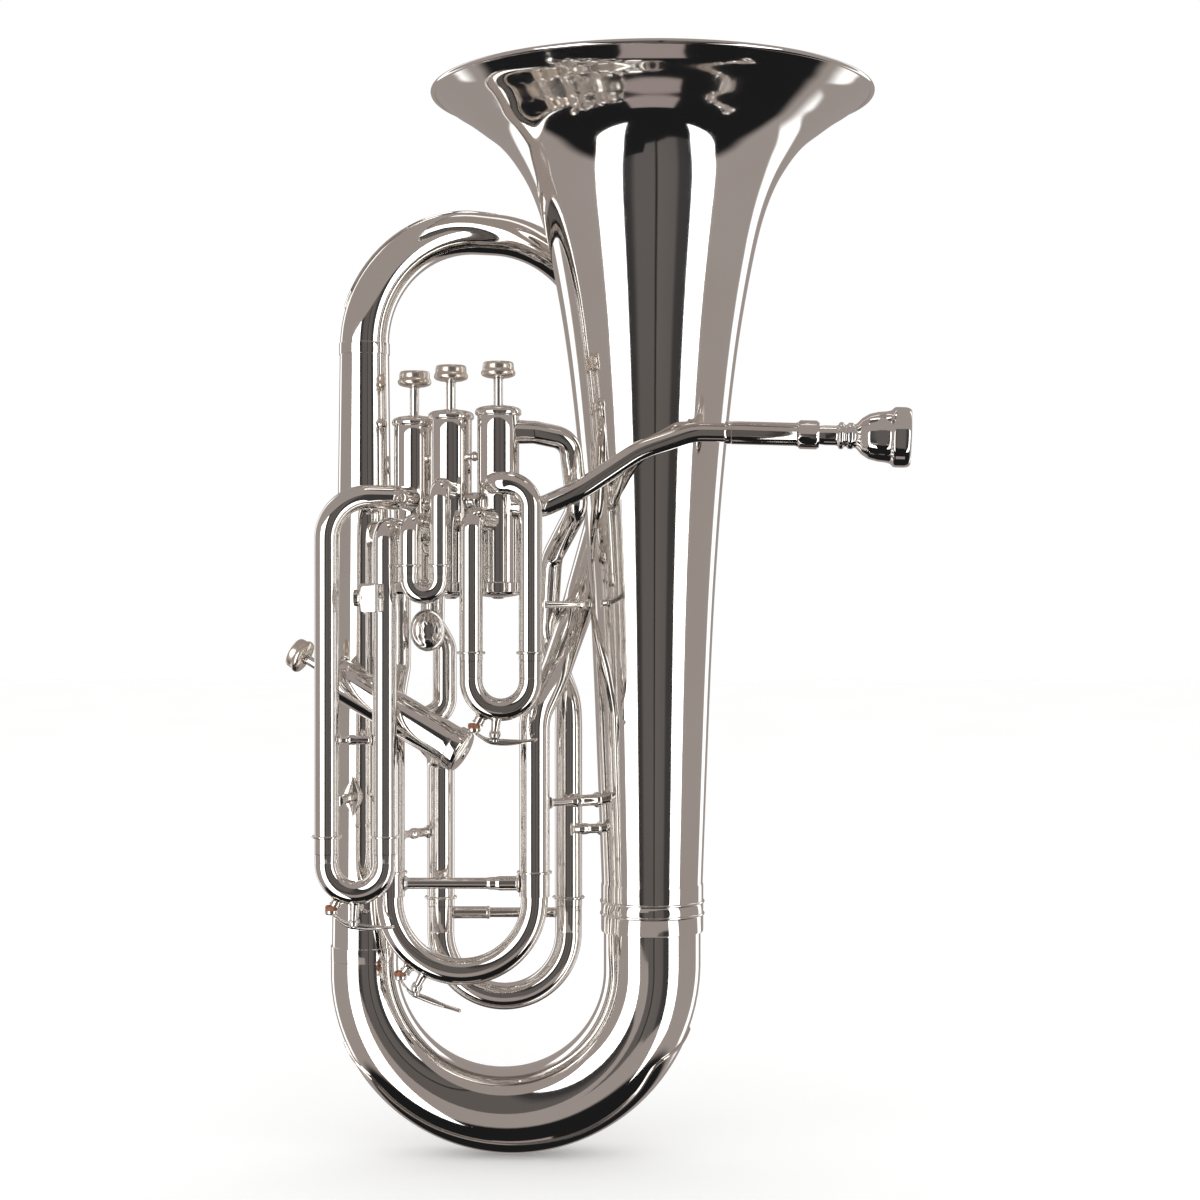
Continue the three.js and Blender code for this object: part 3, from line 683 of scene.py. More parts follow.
def knurled(depth, low, high, every=2):
    def ridges(r, z, k):
        return r - depth if low < z < high and (k // every) % 2 else r
    return ridges


def valve_caps(number, matrix, casing_r, cap_r, bottom):
    top = CASING_TOP_Z - VALVE_DROP[number - 1]
    skirt = casing_r + 0.2
    hole = STEM_R + 0.35
    profile = [
        (skirt, top - 0.4), (cap_r - 0.8, top - 0.4), (cap_r, top + 0.5), (cap_r + 0.1, top + 1.8),
        (cap_r - 0.3, top + 3.3), (cap_r - 1.6, top + 4.5), (cap_r - 4, top + 5.3), (cap_r - 7, top + 5.8),
        (STEM_R + 2.3, top + 5.9), (STEM_R + 1.9, top + 6.4), (hole, top + 6.4), (hole, top + 0.4),
        (skirt, top + 0.4),
    ]
    cap = lathe(f"top_cap_{number}_shell", soften(profile, 0.7), SILVER_SMALL, matrix, 96)
    place(cap, nodes=[f"top_cap_{number}"])
    skirt = casing_r + 0.2
    profile = [
        (skirt, bottom - 0.4), (skirt, bottom + 5.6), (cap_r - 0.4, bottom + 5.8), (cap_r, bottom + 5.2),
        (cap_r, bottom - 0.6), (cap_r - 0.7, bottom - 1.4), (cap_r - 1.2, bottom - 2.4),
        (cap_r - 3.2, bottom - 3.2), (cap_r - 7, bottom - 3.9), (4.2, bottom - 4.3), (3.4, bottom - 5.2),
        (0.4, bottom - 5.4), (0.4, bottom - 0.4),
    ]
    foot = lathe(f"bottom_cap_{number}_shell", soften(profile, 0.6), SILVER_SMALL, matrix, 96)
    place(foot, nodes=[f"bottom_cap_{number}"])


def valve_moving(number, matrix, bottom, radius):
    bore = radius - 1.2
    top = PISTON_TOP_Z
    z = BUTTON_Z - BUTTON_DROP[number - 1]
    profile = [
        (0.2, top - 3), (bore, top - 3), (bore, bottom), (radius - 0.2, bottom), (radius, bottom + 0.4),
        (radius, top - 0.4), (radius - 0.4, top), (STEM_R, top), (STEM_R, z - 1.0), (STEM_R + 0.6, z - 0.7),
        (STEM_R + 0.6, z - GAP), (2, z - GAP), (2, z + 5), (0.2, z + 5),
    ]
    piston = lathe(f"piston_{number}_body", profile, PISTON, matrix, 64)
    place(piston, f"valve_{number}", [f"piston_{number}"])
    low = PISTON_TOP_Z + 6
    stem = soften([(STEM_R, low), (STEM_R + 0.12, low), (STEM_R + 0.12, z - 1.0), (STEM_R, z - 1.0)], 0.05)
    place(lathe(f"stem_{number}_plate", stem, SILVER_SMALL, matrix, 48), f"valve_{number}")
    profile = [
        (2.4, z + 5.6), (2.4, z), (4.2, z - 0.1), (7.6, z + 0.2), (10.6, z + 1.3), (11.4, z + 2.8),
        (11.2, z + 4.3), (10.5, z + 5.2), (10.3, z + 6.0), (10.2, z + 8.4), (10.0, z + 9.6),
        (9.2, z + 10.5), (7.6, z + 10.6), (6.6, z + 10.2), (3.0, z + 9.9), (0.3, z + 9.9), (0.3, z + 5.6),
    ]
    button = lathe(f"finger_button_{number}_disc", soften(profile, 0.8), BUTTON, matrix, 72)
    place(button, f"valve_{number}", [f"finger_button_{number}"])


def valve_spring(number, matrix, bottom, top):
    """A coil spring from the casing's bottom up to the piston, on a mesh of its own."""
    turns, radius, wire = 9, 9.0, 0.55
    line = []
    steps = turns * 24
    for i in range(steps + 1):
        angle = 2 * math.pi * turns * i / steps
        z = bottom + wire + (top - bottom - 2 * wire) * i / steps
        line.append(Vector((radius * math.cos(angle), radius * math.sin(angle), z)))
    rings = [ring_at(f, wire, 8) for f in frames_along(line, (0, 0, 1))]
    vertices, faces = stitch(rings, capped=True)
    obj = make_object(f"valve_spring_{number}_coil", [matrix @ v for v in vertices], faces, STEEL)
    place(obj, BODY, [f"valve_spring_{number}"])
    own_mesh(obj)


def valves():
    valve_block()
    for i, (x, y) in enumerate(VALVE_XY):
        matrix = Matrix.Translation((x, y, 0))
        valve_caps(i + 1, matrix, CASING_R, CAP_R, CASING_BOTTOM_Z)
        valve_moving(i + 1, matrix, PISTON_BOTTOM_Z, PISTON_R)
        valve_spring(i + 1, matrix, CASING_BOTTOM_Z + GAP, PISTON_BOTTOM_Z - GAP)
    matrix = turned(FOURTH_BUTTON - FOURTH_UP * (BUTTON_Z + BUTTON_MIDDLE), FOURTH_UP)
    bottom = CASING_BOTTOM_Z + FOURTH_SHORTER
    shell = casing_tube("valve_casing_4_shell", FOURTH_R, bottom, CASING_TOP_Z, matrix)
    place(shell, nodes=["valve_casing_4"])
    valve_caps(4, matrix, FOURTH_R, CAP_R - 0.3, bottom)
    valve_moving(4, matrix, PISTON_BOTTOM_Z + FOURTH_SHORTER, FOURTH_R - CASING_WALL - 0.4)
    valve_spring(4, matrix, bottom + GAP, PISTON_BOTTOM_Z + FOURTH_SHORTER - GAP)


# ==== slides
def slide_rings(label, slide):
    for leg in ("left", "right"):
        centre = (slide[leg], slide["y"], slide["ring"])
        place(bead(f"{label}_sleeve_ring_{leg}", centre, slide["outer"] + 0.8, RING_THICK, SILVER_SMALL))


def bow_radius_of(slide):
    """The main slide's bow is as thin as its legs; the others' are nearly as wide as their sleeves."""
    return slide["inner"] if slide is MAIN else slide["outer"] - 0.2


def slide_bow(label, slide):
    """Two legs that telescope in the sleeves and a half-round bow, with a fine seam where they meet."""
    bow_r = bow_radius_of(slide)
    half = (slide["right"] - slide["left"]) / 2
    mouth = slide["mouth"] - GAP
    top = slide["mouth"] + slide["grip"]
    seam = slide["bow"] + SEAM_ABOVE_BOW
    heights = [top, mouth + 0.25, mouth]
    if mouth - seam > 1.5:
        heights += [seam + 0.35, seam, seam - 0.35]
    left = [Vector((slide["left"], slide["y"], z)) for z in heights]
    right = [Vector((slide["right"], slide["y"], z)) for z in reversed(heights)]
    steps = 48
    arc = []
    for i in range(steps + 1):
        angle = math.pi + math.pi * i / steps
        x = slide["left"] + half + half * math.cos(angle)
        arc.append(Vector((x, slide["y"], slide["bow"] + half * math.sin(angle))))

    def radius(point):
        if point.z > mouth + 0.1:
            return slide["inner"]
        if abs(point.z - seam) < 0.1 and mouth - seam > 1.5:
            return bow_r - 0.12
        return bow_r

    line = left + arc + right
    outside = [ring_at(f, radius(f[0])) for f in frames_along(line)]
    inside = [ring_at(f, slide["inner"] - 0.6) for f in frames_along(line)]
    vertices, faces = stitch(outside + inside[::-1], closed_loop=True)
    obj = make_object(f"{label}_slide_tube", vertices, faces, SILVER)
    return place(obj, f"{label}_slide", [f"{label}_slide"])


def slides():
    v1, v2, v3 = (casing_of(i) for i in range(3))
    named = (("main", MAIN), ("first", FIRST), ("second", SECOND), ("third", THIRD), ("fourth", FOURTH))
    for label, slide in named:
        slide_bow(label, slide)
    for label, slide in named:
        slide_rings(label, slide)
    for node, slide, leg, turn_z, onward, bends, casing in (
        ("main_slide_sleeve", MAIN, "left", 305, [], [], FOURTH_CASING),
        ("first_slide_knuckle", FIRST, "left", 428, [(-13, -45, 428)], 9, v1),
        ("first_slide_crook", FIRST, "right", 450.5, [(-13, -73, 450.5), (-12, -45, 450.5)], [16, 8], v1),
        ("second_slide_crook", SECOND, "right", 448, [(-44, -32, 448)], 9, v2),
        ("second_slide_knuckle", SECOND, "left", 425, [(-46, -32, 425)], 9, v2),
        ("third_slide_crook", THIRD, "left", 442.5, [(-80, -44, 442.5), (-70, -10, 442.5)], [28, 9], v3),
        ("third_slide_knuckle", THIRD, "right", 421, [(-73, -10, 421)], 9, v3),
        ("fourth_slide_sleeve", FOURTH, "left", 270, [(-57, -45, 283)], 12, FOURTH_CASING),
    ):
        upright = [(slide[leg], slide["y"], z) for z in (slide["mouth"], turn_z)]
        line = bent_line(upright + onward, bends)
        name = node.replace("_slide", "") + "_tube"
        place(pipe(name, line, slide["outer"], SILVER, casing=casing), nodes=[node])


def links():
    corners = [
        (FOURTH["right"], FOURTH["y"], FOURTH["mouth"]), (FOURTH["right"], FOURTH["y"], 306),
        (18.5, 24, 350), (22, 10, 404), (40, -25, 436), (35, -38, 481), (12, -44, 485.5), (-12, -45, 485.5),
    ]
    line = bent_line(corners, [30, 26, 20, 20, 14, 14])
    radii = [9.25, 9.25, 9.25, 7.4, 7.2, 7.5, 7.5]
    place(pipe("link_tube_pipe", line, radii, SILVER, casing=casing_of(0)), nodes=["link_tube"])
    line = bent_line([(-79, -18, 379), (-79, -18, 330), (-83, -38, 300)], 12)
    inlet = pipe("fourth_valve_inlet_pipe", line, INLET_R, SILVER, casing=FOURTH_CASING)
    place(inlet, nodes=["fourth_valve_inlet"])
    corners = [
        (-57, -20, 379), (-57, -21, 358), (-48.8, -22, 344), (-48.8, -22, 302), (-62, -26, 295),
        (-68, -45, 294),
    ]
    line = bent_line(corners, [8, 14, 12, 8])
    loop = pipe("fourth_valve_loop_pipe", line, LOOP_R, SILVER, casing=FOURTH_CASING)
    place(loop, nodes=["fourth_valve_loop"])
    place(elbow_end())
    for number, reach, low, high in ((1, 28, 400, 466), (2, 24, 412, 462), (3, 26, 398, 468)):
        compensating_loop(number, reach, low, high)


def elbow_end():
    """The round, capped end of the loop's upper elbow, seen from the player's side."""
    face = Matrix.Translation((-59.5, -34, 355)) @ Matrix.Rotation(math.radians(90), 4, "X")
    squeeze = Matrix.Diagonal((0.83, 1, 1, 1))
    profile = [
        (0.3, 3.6), (3, 3.5), (6, 2.9), (9, 1.8), (11.2, 0.6), (12.2, 0.2), (12.7, 1.0), (13.6, 1.2),
        (14.1, 0.4), (13.7, -0.5), (12.9, -1), (12.6, -4), (11.4, -9), (8.2, -13), (0.3, -14.5),
    ]
    profile = soften(profile, 0.4, closed=False)
    return lathe("loop_elbow_end", profile, SILVER, face @ squeeze, 64, closed=False)


def compensating_loop(number, reach, low, high):
    """A small loop behind an upright valve, from its casing and back to it."""
    x, y = VALVE_XY[number - 1]
    casing = casing_of(number - 1)
    back = y + CASING_R
    middle = (low + high) / 2
    parts = []
    for z in (high, low):
        line = bent_line([(x, back + reach, middle), (x, back + reach, z), (x, y, z)], 14)
        parts.append(pipe("half", line, COMPENSATING_R, SILVER, casing=casing))
    name = f"compensating_loop_{number}"
    nodes = [name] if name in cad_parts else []
    place(joined(f"{name}_pipe", parts), nodes=nodes)


# ==== mouth end
def mouth_end():
    corners = [
        (135.8, -62, 484), (115.5, -62, 484.4), (81, -62, 472.6), (42, -61.5, 446.6), (18, -58, 436),
        (-12, -45, 434),
    ]
    line = bent_line(corners, [40, 60, 60, 16])
    lead = pipe("lead_pipe_tube", line, [6.2, 6.4, 6.6, 6.8], SILVER, casing=casing_of(0))
    place(lead, nodes=["lead_pipe"])
    matrix = along(MOUTH_START, MOUTH_END)
    profile = [
        (5.6, -0.8), (6.9, -0.8), (7.4, 0.2), (7.4, 2.6), (7.1, 3.2), (7.1, 3.6), (7.5, 4.0), (7.5, 45.4),
        (7.9, 46.0), (7.9, 46.8), (8.6, 47.2), (9.2, 48.2), (9.2, 58.6), (8.5, 59.6), (8.2, 60.4),
        (6.5, 60.4), (5.6, 20),
    ]
    facets = 8

    def faceted(r, z, k):
        if not 47.6 < z < 59.0 or r < 9:
            return r
        angle = (2 * math.pi * k / 96) % (2 * math.pi / facets) - math.pi / facets
        return min(r + 0.15, 8.9 / math.cos(angle) * 0.985)

    receiver = lathe("mouthpiece_receiver_shell", profile, SILVER_SMALL, matrix, 96, ridges=faceted)
    place(receiver, nodes=["mouthpiece_receiver"])
    place(mouthpiece(matrix), "mouthpiece", ["mouthpiece"])


def mouthpiece(matrix):
    profile = [
        (3.6, 36), (4.55, 36), (6.05, 61), (6.4, 64), (6.4, 71.5), (7.0, 72.6), (8.6, 73.4), (8.9, 74.6),
        (8.6, 75.8), (7.2, 76.6), (7.0, 78.0), (8.4, 79.2), (8.7, 80.6), (8.4, 82), (7.4, 83), (8.2, 84.6),
        (11.6, 87.6), (14.6, 92.4), (16.0, 98), (16.5, 103.5), (17.2, 106.4), (19.2, 108.4), (19.5, 109.6),
        (19.5, 115.6), (18.9, 118.2), (17.6, 119.5), (15.6, 119.6), (13.6, 118.4), (12.7, 115.8),
        (12.4, 110), (11.2, 102), (8.6, 94.6), (5.2, 88.6), (3.4, 85.4), (3.3, 78), (3.5, 60),
    ]
    return lathe("mouthpiece_shell", soften(profile, 0.9), SILVER, matrix, 96)


# ==== braces, lyre socket, water keys
def brace(name, start, end, profile_of):
    """A turned brace between two tubes, with a solder flange at each end."""
    span = (Vector(end) - Vector(start)).length
    profile = [(0.2, -0.3)] + profile_of(span) + [(0.2, span + 0.3)]
    obj = lathe(name, soften(profile, 0.5, closed=False), SILVER_SMALL, along(start, end), 40, closed=False)
    return place(obj)


def stepped(thin, thick, split, ball):
    """A brace profile: thin rod, ball or collar, then a thicker sleeve."""
    def profile(span):
        at = span * split
        return [
            (thin + 1.6, 0), (thin + 1.2, 0.9), (thin, 2.0), (thin, at - ball), (ball, at - ball * 0.4),
            (ball, at + ball * 0.4), (thick, at + ball), (thick, span - 2.0), (thick + 1.2, span - 0.9),
            (thick + 1.6, span),
        ]
    return profile


def braces():
    for name, start, end, shape in (
        ("bell_brace_upper", (17.5, -73.5, 372), (47, -19.5, 372), (2.2, 2.2, 0.82, 3.6)),
        ("bell_brace_lower", (21.3, -29, 240), (53, -5, 240), (2.6, 3.8, 0.55, 4.2)),
        ("third_slide_brace", (-115, -63, 284), (-93, -63, 284), (2.0, 2.8, 0.4, 3.4)),
        ("main_slide_brace", (-75, -30, 186.6), (1.4, -30, 186.6), (3.7, 4.8, 0.77, 4.2)),
        ("fourth_slide_brace", (35.5, -10, 220.4), (55, -2, 220.4), (2.6, 3.2, 0.45, 3.8)),
        ("sleeve_brace", (-77, -26, 218.4), (-61, -5, 218.4), (2.4, 3.0, 0.45, 3.6)),
        ("branch_brace", (-116, -58, 243.6), (-110.5, -22, 243.6), (2.2, 2.6, 0.6, 3.4)),
    ):
        rod = brace(name + "_rod", start, end, stepped(*shape))
        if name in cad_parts:
            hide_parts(name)
    place(diamond_foot())
    z = FOURTH["mouth"] - GAP - 4.6
    start = (FOURTH["left"] + 8.6, 0, z)
    end = (FOURTH["right"] - 8.6, 0, z)
    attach(brace("fourth_slide_cross_rod", start, end, collared_rod), "fourth_slide")


def collared_rod(span):
    """A rod with a thicker sleeve over its first third and a narrow ring where that ends."""
    at = span * 0.34
    return [
        (4.5, 0), (4.2, 0.9), (4.1, 1.6), (4.1, at - 1), (4.4, at - 0.5), (4.4, at + 0.6), (3.3, at + 1.2),
        (3.3, span - 1.4), (3.6, span - 0.7), (4.4, span),
    ]


def diamond_foot():
    """A pointed plate that spreads a brace's load over the ascending branch."""
    profile = []
    for k in range(25):
        t = k / 24
        profile.append((0.2 + 6.6 * math.sin(math.pi * t) ** 1.8, -14.5 + 29 * t))
    matrix = Matrix.Translation((-110.5, -21.6, 243.6)) @ Matrix.Diagonal((1, 0.3, 1, 1))
    return lathe("branch_brace_foot", profile, SILVER_SMALL, matrix, 40, closed=False)


def lyre_socket():
    centre = Vector((-93, -76, LYRE_Z))
    half_x, half_y, half_z = 6.75, 4.5, 9.25
    slot_x, slot_y = 4.0, 2.2
    turn = Matrix.Rotation(math.radians(-19), 3, "Z")
    outer, inner = [], []
    for k in range(32):
        angle = 2 * math.pi * (k + 0.5) / 32
        cos, sin = math.cos(angle), math.sin(angle)
        outer.append(superellipse(cos, sin, half_x, half_y))
        inner.append(superellipse(cos, sin, slot_x, slot_y))
    rings = []
    for shrink, z in ((0.6, -half_z), (0, -half_z + 0.7), (0, half_z - 0.7), (0.6, half_z)):
        ring = []
        for x, y in outer:
            corner = Vector((x - math.copysign(shrink, x), y - math.copysign(shrink * 0.7, y), z))
            ring.append(centre + turn @ corner)
        rings.append(ring)
    for z in (half_z, -half_z):
        rings.append([centre + turn @ Vector((x, y, z)) for x, y in inner])
    vertices, faces = stitch(rings, closed_loop=True)
    box = make_object("lyre_socket_box", vertices, faces, SILVER_SMALL)
    profile = soften([(0.3, 0), (4.6, 0), (4.6, 0.8), (2.4, 2.2), (2.4, 6), (0.3, 6)], 0.4)
    foot = lathe("foot", profile, SILVER_SMALL, along((-89, -70.6, LYRE_Z), (-91, -76, LYRE_Z)), 32)
    place(joined("lyre_socket_box", [box, foot]), nodes=["lyre_socket"])
    profile = [
        (0.2, 0), (1.8, 0), (1.8, 3.6), (4.6, 3.8), (5.4, 4.5), (5.4, 6.9), (4.6, 7.4), (2.0, 7.5),
        (0.2, 7.3),
    ]
    matrix = along((-96.4, -76, LYRE_Z), (-110, -76, LYRE_Z))
    screw = lathe("lyre_screw_head", profile, SILVER_SMALL, matrix, 96, ridges=knurled(0.35, 4.4, 7.0))
    place(screw, "lyre_screw", ["lyre_screw"])


def superellipse(cos, sin, a, b, power=0.28):
    return (math.copysign(a * abs(cos) ** power, cos), math.copysign(b * abs(sin) ** power, sin))


KEYS = {
    "first": dict(slide=FIRST, cork=(-26.2, 290.9), pin=(-12.8, 288.4), under=283.6, tip=(14.5, 285.2)),
    "third": dict(slide=THIRD, cork=(-119.8, 171.7), pin=(-104.8, 165.4), under=162.8, tip=(-79.0, 162.4)),
    "main": dict(slide=MAIN, cork=(-77.9, 123.6), pin=(-67.0, 117.4), under=112.0, tip=(-37.6, 101.6)),
}


def water_key(label):
    key = KEYS[label]
    slide = key["slide"]
    y = slide["y"]
    body = f"{label}_water_key"
    half = (slide["right"] - slide["left"]) / 2
    centre = Vector((slide["left"] + half, y, slide["bow"]))
    bow_r = bow_radius_of(slide)
    pin = Vector((key["pin"][0], y, key["pin"][1]))
    seat = Vector((key["cork"][0], y, key["cork"][1]))
    barrel = soften([(1.3, -4.2), (2.9, -4.2), (2.9, 4.2), (1.3, 4.2)], 0.5)
    cup = soften([(0.3, -1.3), (3.4, -1.3), (4.2, -0.5), (4.2, 1.5), (3.7, 1.5), (3.7, 0), (0.3, 0)], 0.4)
    deep = pin.z - key["under"]
    web = soften([(0.3, 0), (2.3, 0), (2.0, 2), (2.4, deep), (0.3, deep)], 0.3)
    lever = [
        lever_arm(key, y),
        lathe("barrel", barrel, SILVER_SMALL, along(pin, pin + Vector((0, 1, 0))), 32),
        lathe("web", web, SILVER_SMALL, along(pin, pin - Vector((0, 0, 1))), 24),
        lathe("cup", cup, SILVER_SMALL, Matrix.Translation(seat), 32),
    ]
    place(joined(f"{label}_key_lever", lever), body, [body])
    plug = soften([(0.3, 0.1), (3.6, 0.1), (4.0, 3.4), (3.6, 4.7), (0.3, 4.7)], 0.6)
    place(lathe(f"{label}_key_cork", plug, CORK, Matrix.Translation(seat), 32), body)
    spring_coil(label, pin, body)
    surface = centre + (seat - centre).normalized() * (half + bow_r - 0.8)
    reach = max(2.2, (surface - seat).length - 4.9)
    nipple = [
        (5.0, 0), (4.2, 0.9), (3.4, 1.8), (3.4, reach - 0.9), (3.9, reach - 0.5), (3.9, reach),
        (1.6, reach), (1.6, 0),
    ]
    place(lathe(f"{label}_drain_nipple", nipple, SILVER_SMALL, along(surface, seat), 32), f"{label}_slide")
    key_post(label, centre, half + bow_r, pin)


def lever_arm(key, y):
    """A bar curving from the cork cup under the pin, with a flat spoon-shaped thumb end beyond it."""
    (cork_x, cork_z), (pin_x, _), (tip_x, tip_z) = key["cork"], key["pin"], key["tip"]
    under = key["under"]
    count = 41
    rings = []
    for i in range(count):
        t = i / (count - 1)
        x = cork_x + (tip_x - cork_x) * t
        past = max(0.0, (x - pin_x) / (tip_x - pin_x))
        before = min(1.0, (x - cork_x) / (pin_x - cork_x))
        if past > 0:
            low = under + (tip_z - under) * past ** 1.15 - 0.9 * math.sin(math.pi * past)
            width = 2.0 + 2.6 * past ** 2
        else:
            low = cork_z - 0.9 + (under - cork_z + 0.9) * math.sin(math.pi / 2 * before)
            width = 2.0 + 1.4 * (1 - before) ** 2
        thick = 1.1 + 1.1 * math.sin(math.pi * min(1.0, t * 1.15)) ** 1.5
        if i in (0, count - 1):
            width, thick = width * 0.55, thick * 0.6
        ring = []
        for k in range(20):
            angle = 2 * math.pi * k / 20
            ring.append(Vector((x, y + width * math.cos(angle), low + thick * math.sin(angle))))
        rings.append(ring)
    return make_object("lever", *stitch(rings, capped=True), SILVER_SMALL)


def spring_coil(label, pin, body):
    line = []
    for i in range(121):
        angle = 2 * math.pi * i / 24
        line.append(pin + Vector((3.3 * math.cos(angle), -3.2 + 6.4 * i / 120, 3.3 * math.sin(angle))))
    rings = [ring_at(f, 0.35, 6) for f in frames_along(line, (0, 1, 0))]
    place(make_object(f"{label}_key_spring", *stitch(rings, capped=True), STEEL), body)


def key_post(label, centre, reach, pin):
    """Two ears under the bow that hold the key's pin."""
    top = centre + (pin - centre).normalized() * (reach - 1.2)
    parts = []
    for side in (-1, 1):
        foot = top + Vector((0, side * 2.6, 0))
        end = pin + Vector((0, side * 5.2, 0))
        span = (end - foot).length
        profile = [
            (0.2, 0), (3.9, 0), (2.9, 1.6), (2.3, span - 2), (2.9, span), (2.6, span + 2.2),
            (0.2, span + 2.7),
        ]
        profile = soften(profile, 0.4, closed=False)
        parts.append(lathe("ear", profile, SILVER_SMALL, along(foot, end), 24, closed=False))
    head = [(0.2, -7.4), (2.0, -7.4), (2.3, -6.6), (1.2, -6), (1.2, 6), (2.3, 6.6), (2.0, 7.4), (0.2, 7.4)]
    head = soften(head, 0.2, closed=False)
    parts.append(lathe("pin", head, SILVER_SMALL, along(pin, pin + Vector((0, 1, 0))), 24, closed=False))
    place(joined(f"{label}_key_post", parts), f"{label}_slide")


# ==== stage
def world_lighting():
    """The studio as the plating sees it: grey walls, two soft boxes behind, a dark floor."""
    world = bpy.data.worlds.new("studio")
    bpy.context.scene.world = world
    world.use_nodes = True
    nodes, links = world.node_tree.nodes, world.node_tree.links
    background = nodes["Background"]
    direction = nodes.new("ShaderNodeTexCoord").outputs["Generated"]
    split = nodes.new("ShaderNodeSeparateXYZ")
    links.new(direction, split.inputs[0])
    x, y, z = split.outputs

    def math_node(operation, a, b=None):
        node = nodes.new("ShaderNodeMath")
        node.operation = operation
        for socket, value in zip(node.inputs, (a, b)):
            if value is None:
                continue
            if isinstance(value, (int, float)):
                socket.default_value = value
            else:
                links.new(value, socket)
        return node.outputs[0]

    azimuth = math_node("ARCTAN2", x, math_node("MULTIPLY", y, -1.0))

    def step(value, low, high):
        node = nodes.new("ShaderNodeMapRange")
        node.interpolation_type = "SMOOTHSTEP"
        node.inputs["From Min"].default_value = low
        node.inputs["From Max"].default_value = high
        links.new(value, node.inputs["Value"])
        return node.outputs["Result"]

    def band(value, low, high, soft):
        rise = step(value, low - soft, low + soft)
        return math_node("MULTIPLY", rise, step(value, high + soft, high - soft))

    def box_mask(azimuths, heights, soft=0.03):
        low, high = (math.radians(a) for a in azimuths)
        return math_node("MULTIPLY", band(azimuth, low, high, soft), band(z, heights[0], heights[1], 0.06))

    colour = None

    def layer(mask, rgb):
        nonlocal colour
        mix = nodes.new("ShaderNodeMix")
        mix.data_type = "RGBA"
        links.new(mask, mix.inputs["Factor"])
        if colour is None:
            mix.inputs["A"].default_value = (*WALL_TONE, 1)
        else:
            links.new(colour, mix.inputs["A"])
        mix.inputs["B"].default_value = (*rgb, 1)
        colour = mix.outputs["Result"]

    layer(step(z, -0.58, -0.66), (0.012, 0.012, 0.013))
    nadir = math_node("MULTIPLY", band(x, -0.15, 0.15, 0.01), band(y, -0.13, 0.1, 0.01))
    layer(math_node("MULTIPLY", nadir, step(z, -0.85, -0.9)), (0.32, 0.27, 0.26))
    layer(box_mask((-143, -127), (-0.5, 0.7)), (1.3, 1.3, 1.3))
    layer(box_mask((127, 145), (-0.5, 0.7)), (1.3, 1.3, 1.3))
    path = nodes.new("ShaderNodeLightPath")
    mix = nodes.new("ShaderNodeMix")
    mix.data_type = "RGBA"
    seen = math_node("MAXIMUM", path.outputs["Is Camera Ray"], path.outputs["Is Diffuse Ray"])
    links.new(seen, mix.inputs["Factor"])
    links.new(colour, mix.inputs["A"])
    mix.inputs["B"].default_value = (1.0, 1.0, 1.0, 1)
    links.new(mix.outputs["Result"], background.inputs["Color"])


def reflector(name, outline, light):
    """An upright studio panel in front of the horn that shows only in its reflections."""
    material, nodes, links = new_material(name)
    glow = nodes.new("ShaderNodeEmission")
    place_at = nodes.new("ShaderNodeTexCoord").outputs["Generated"]
    split = nodes.new("ShaderNodeSeparateXYZ")
    links.new(place_at, split.inputs[0])
    links.new(ramp_node(nodes, links, split.outputs[0], light), glow.inputs["Color"])
    links.new(glow.outputs[0], nodes["Material Output"].inputs["Surface"])
    corners = [(x, REFLECTOR_Y, z) for x, z in outline]
    obj = make_object(name, corners, [tuple(range(len(corners)))], material)
    obj.visible_camera = False
    obj.visible_shadow = False
    obj.visible_diffuse = False


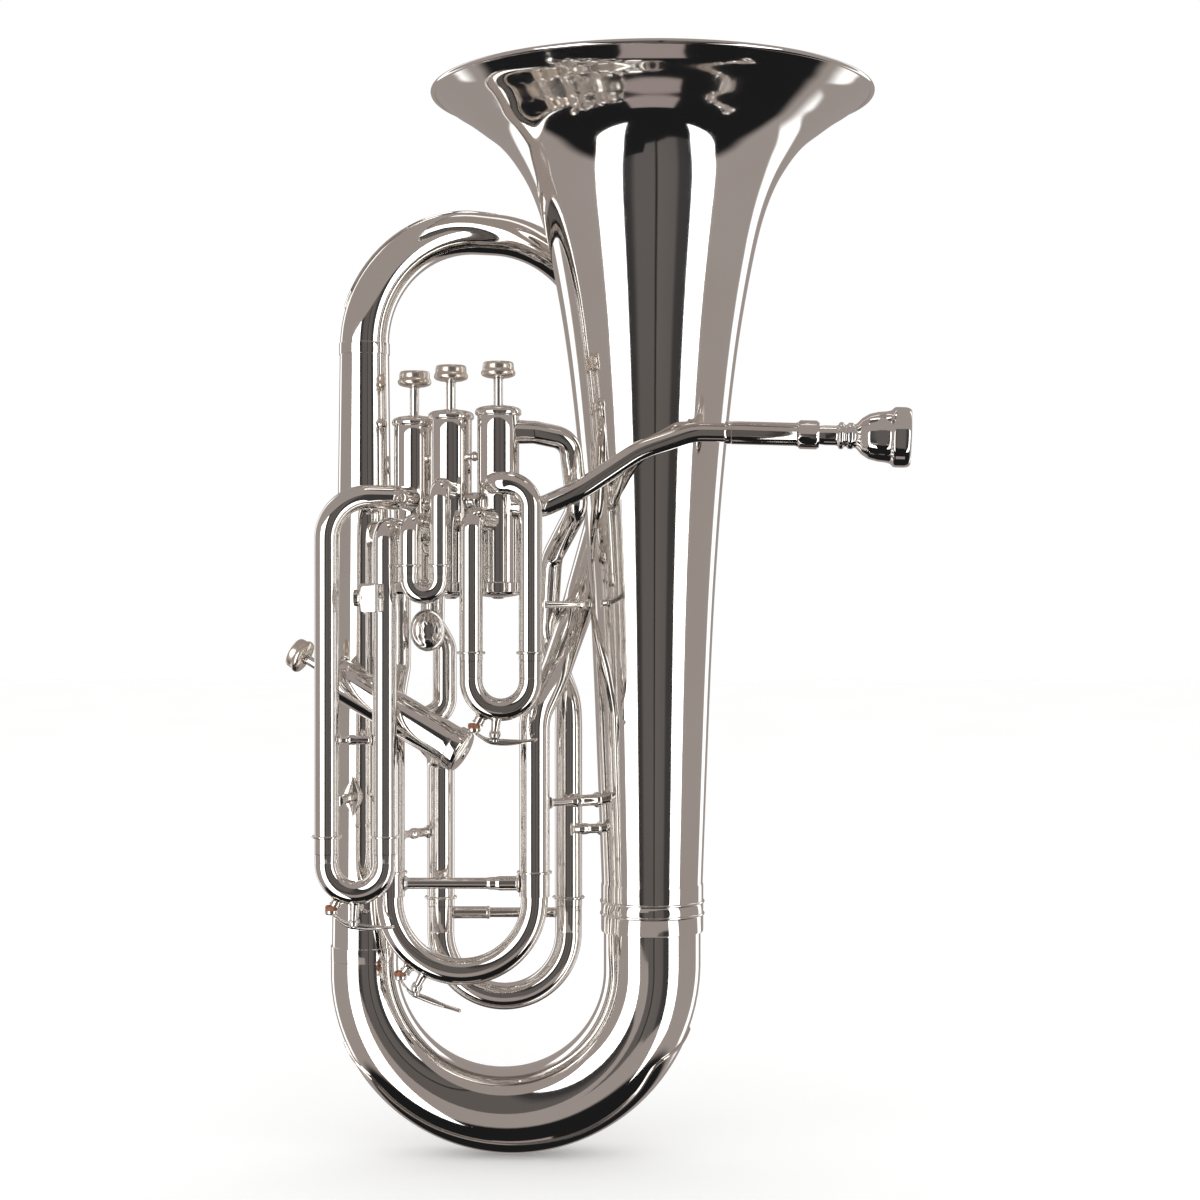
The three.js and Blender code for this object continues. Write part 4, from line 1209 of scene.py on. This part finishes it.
def reflectors():
    low, high = -700, 780
    left, right = -290, 600
    soft_box = [(0.0, (2.4, 2.4, 2.4)), (1.0, (2.4, 2.4, 2.4))]
    reflector("soft_box_left", [(-975, low), (left, low), (left, high), (-975, high)], soft_box)
    reflector("soft_box_right", [(right, low), (1350, low), (1350, high), (right, high)], soft_box)
    lower_edge = [(left, 40), (-30, 30), (-5, -85), (150, -110), (260, -170), (right, -260)]
    reflector("dark_panel", lower_edge + [(right, high), (left, high)], PANEL)


PANEL = [
    (0.0, (0.03, 0.029, 0.03)), (0.12, (0.045, 0.042, 0.042)), (0.2, (0.115, 0.105, 0.1)),
    (0.44, (0.115, 0.105, 0.1)), (0.455, (0.02, 0.02, 0.02)), (0.47, (0.02, 0.02, 0.02)),
    (0.485, (0.13, 0.118, 0.11)), (0.72, (0.115, 0.105, 0.1)),
    (0.78, (0.05, 0.047, 0.047)), (1.0, (0.04, 0.039, 0.04)),
]


def floor():
    material, nodes, links = new_material("pale_floor")
    shader = nodes["Principled BSDF"]
    shader.inputs["Roughness"].default_value = 0.9
    place_at = nodes.new("ShaderNodeTexCoord").outputs["Object"]
    tone = noise_node(nodes, links, place_at, 3.0)
    links.new(ramp_node(nodes, links, tone, [(0.3, (0.93, 0.93, 0.93)), (0.7, (0.96, 0.96, 0.96))]),
              shader.inputs["Base Color"])
    shader.inputs["Emission Color"].default_value = (1, 1, 1, 1)
    shader.inputs["Emission Strength"].default_value = 0.16
    low = CAD_BOX[0][2] / MM - FLOOR_BELOW
    corners = [(x * FLOOR_HALF, y * FLOOR_HALF, low) for x, y in ((-1, -1), (1, -1), (1, 1), (-1, 1))]
    obj = make_object("studio_floor", corners, [(0, 1, 2, 3)], material)
    obj.visible_glossy = False


def camera():
    data = bpy.data.cameras.new("camera")
    data.sensor_width = SENSOR
    data.lens = LENS
    obj = bpy.data.objects.new("camera", data)
    bpy.context.scene.collection.objects.link(obj)
    obj.location = CAMERA_AT * MM
    obj.rotation_euler = (math.radians(90), 0, 0)
    bpy.context.scene.camera = obj


bpy.context.scene.view_settings.view_transform = "Standard"
camera()
world_lighting()
reflectors()
floor()
bell()
bell_ferrule()
bottom_bow()
bottom_bow_guard()
ascending_branch()
top_bow()
top_bow_guard()
rear_branch()
valves()
slides()
links()
mouth_end()
braces()
lyre_socket()
for key in KEYS:
    water_key(key)
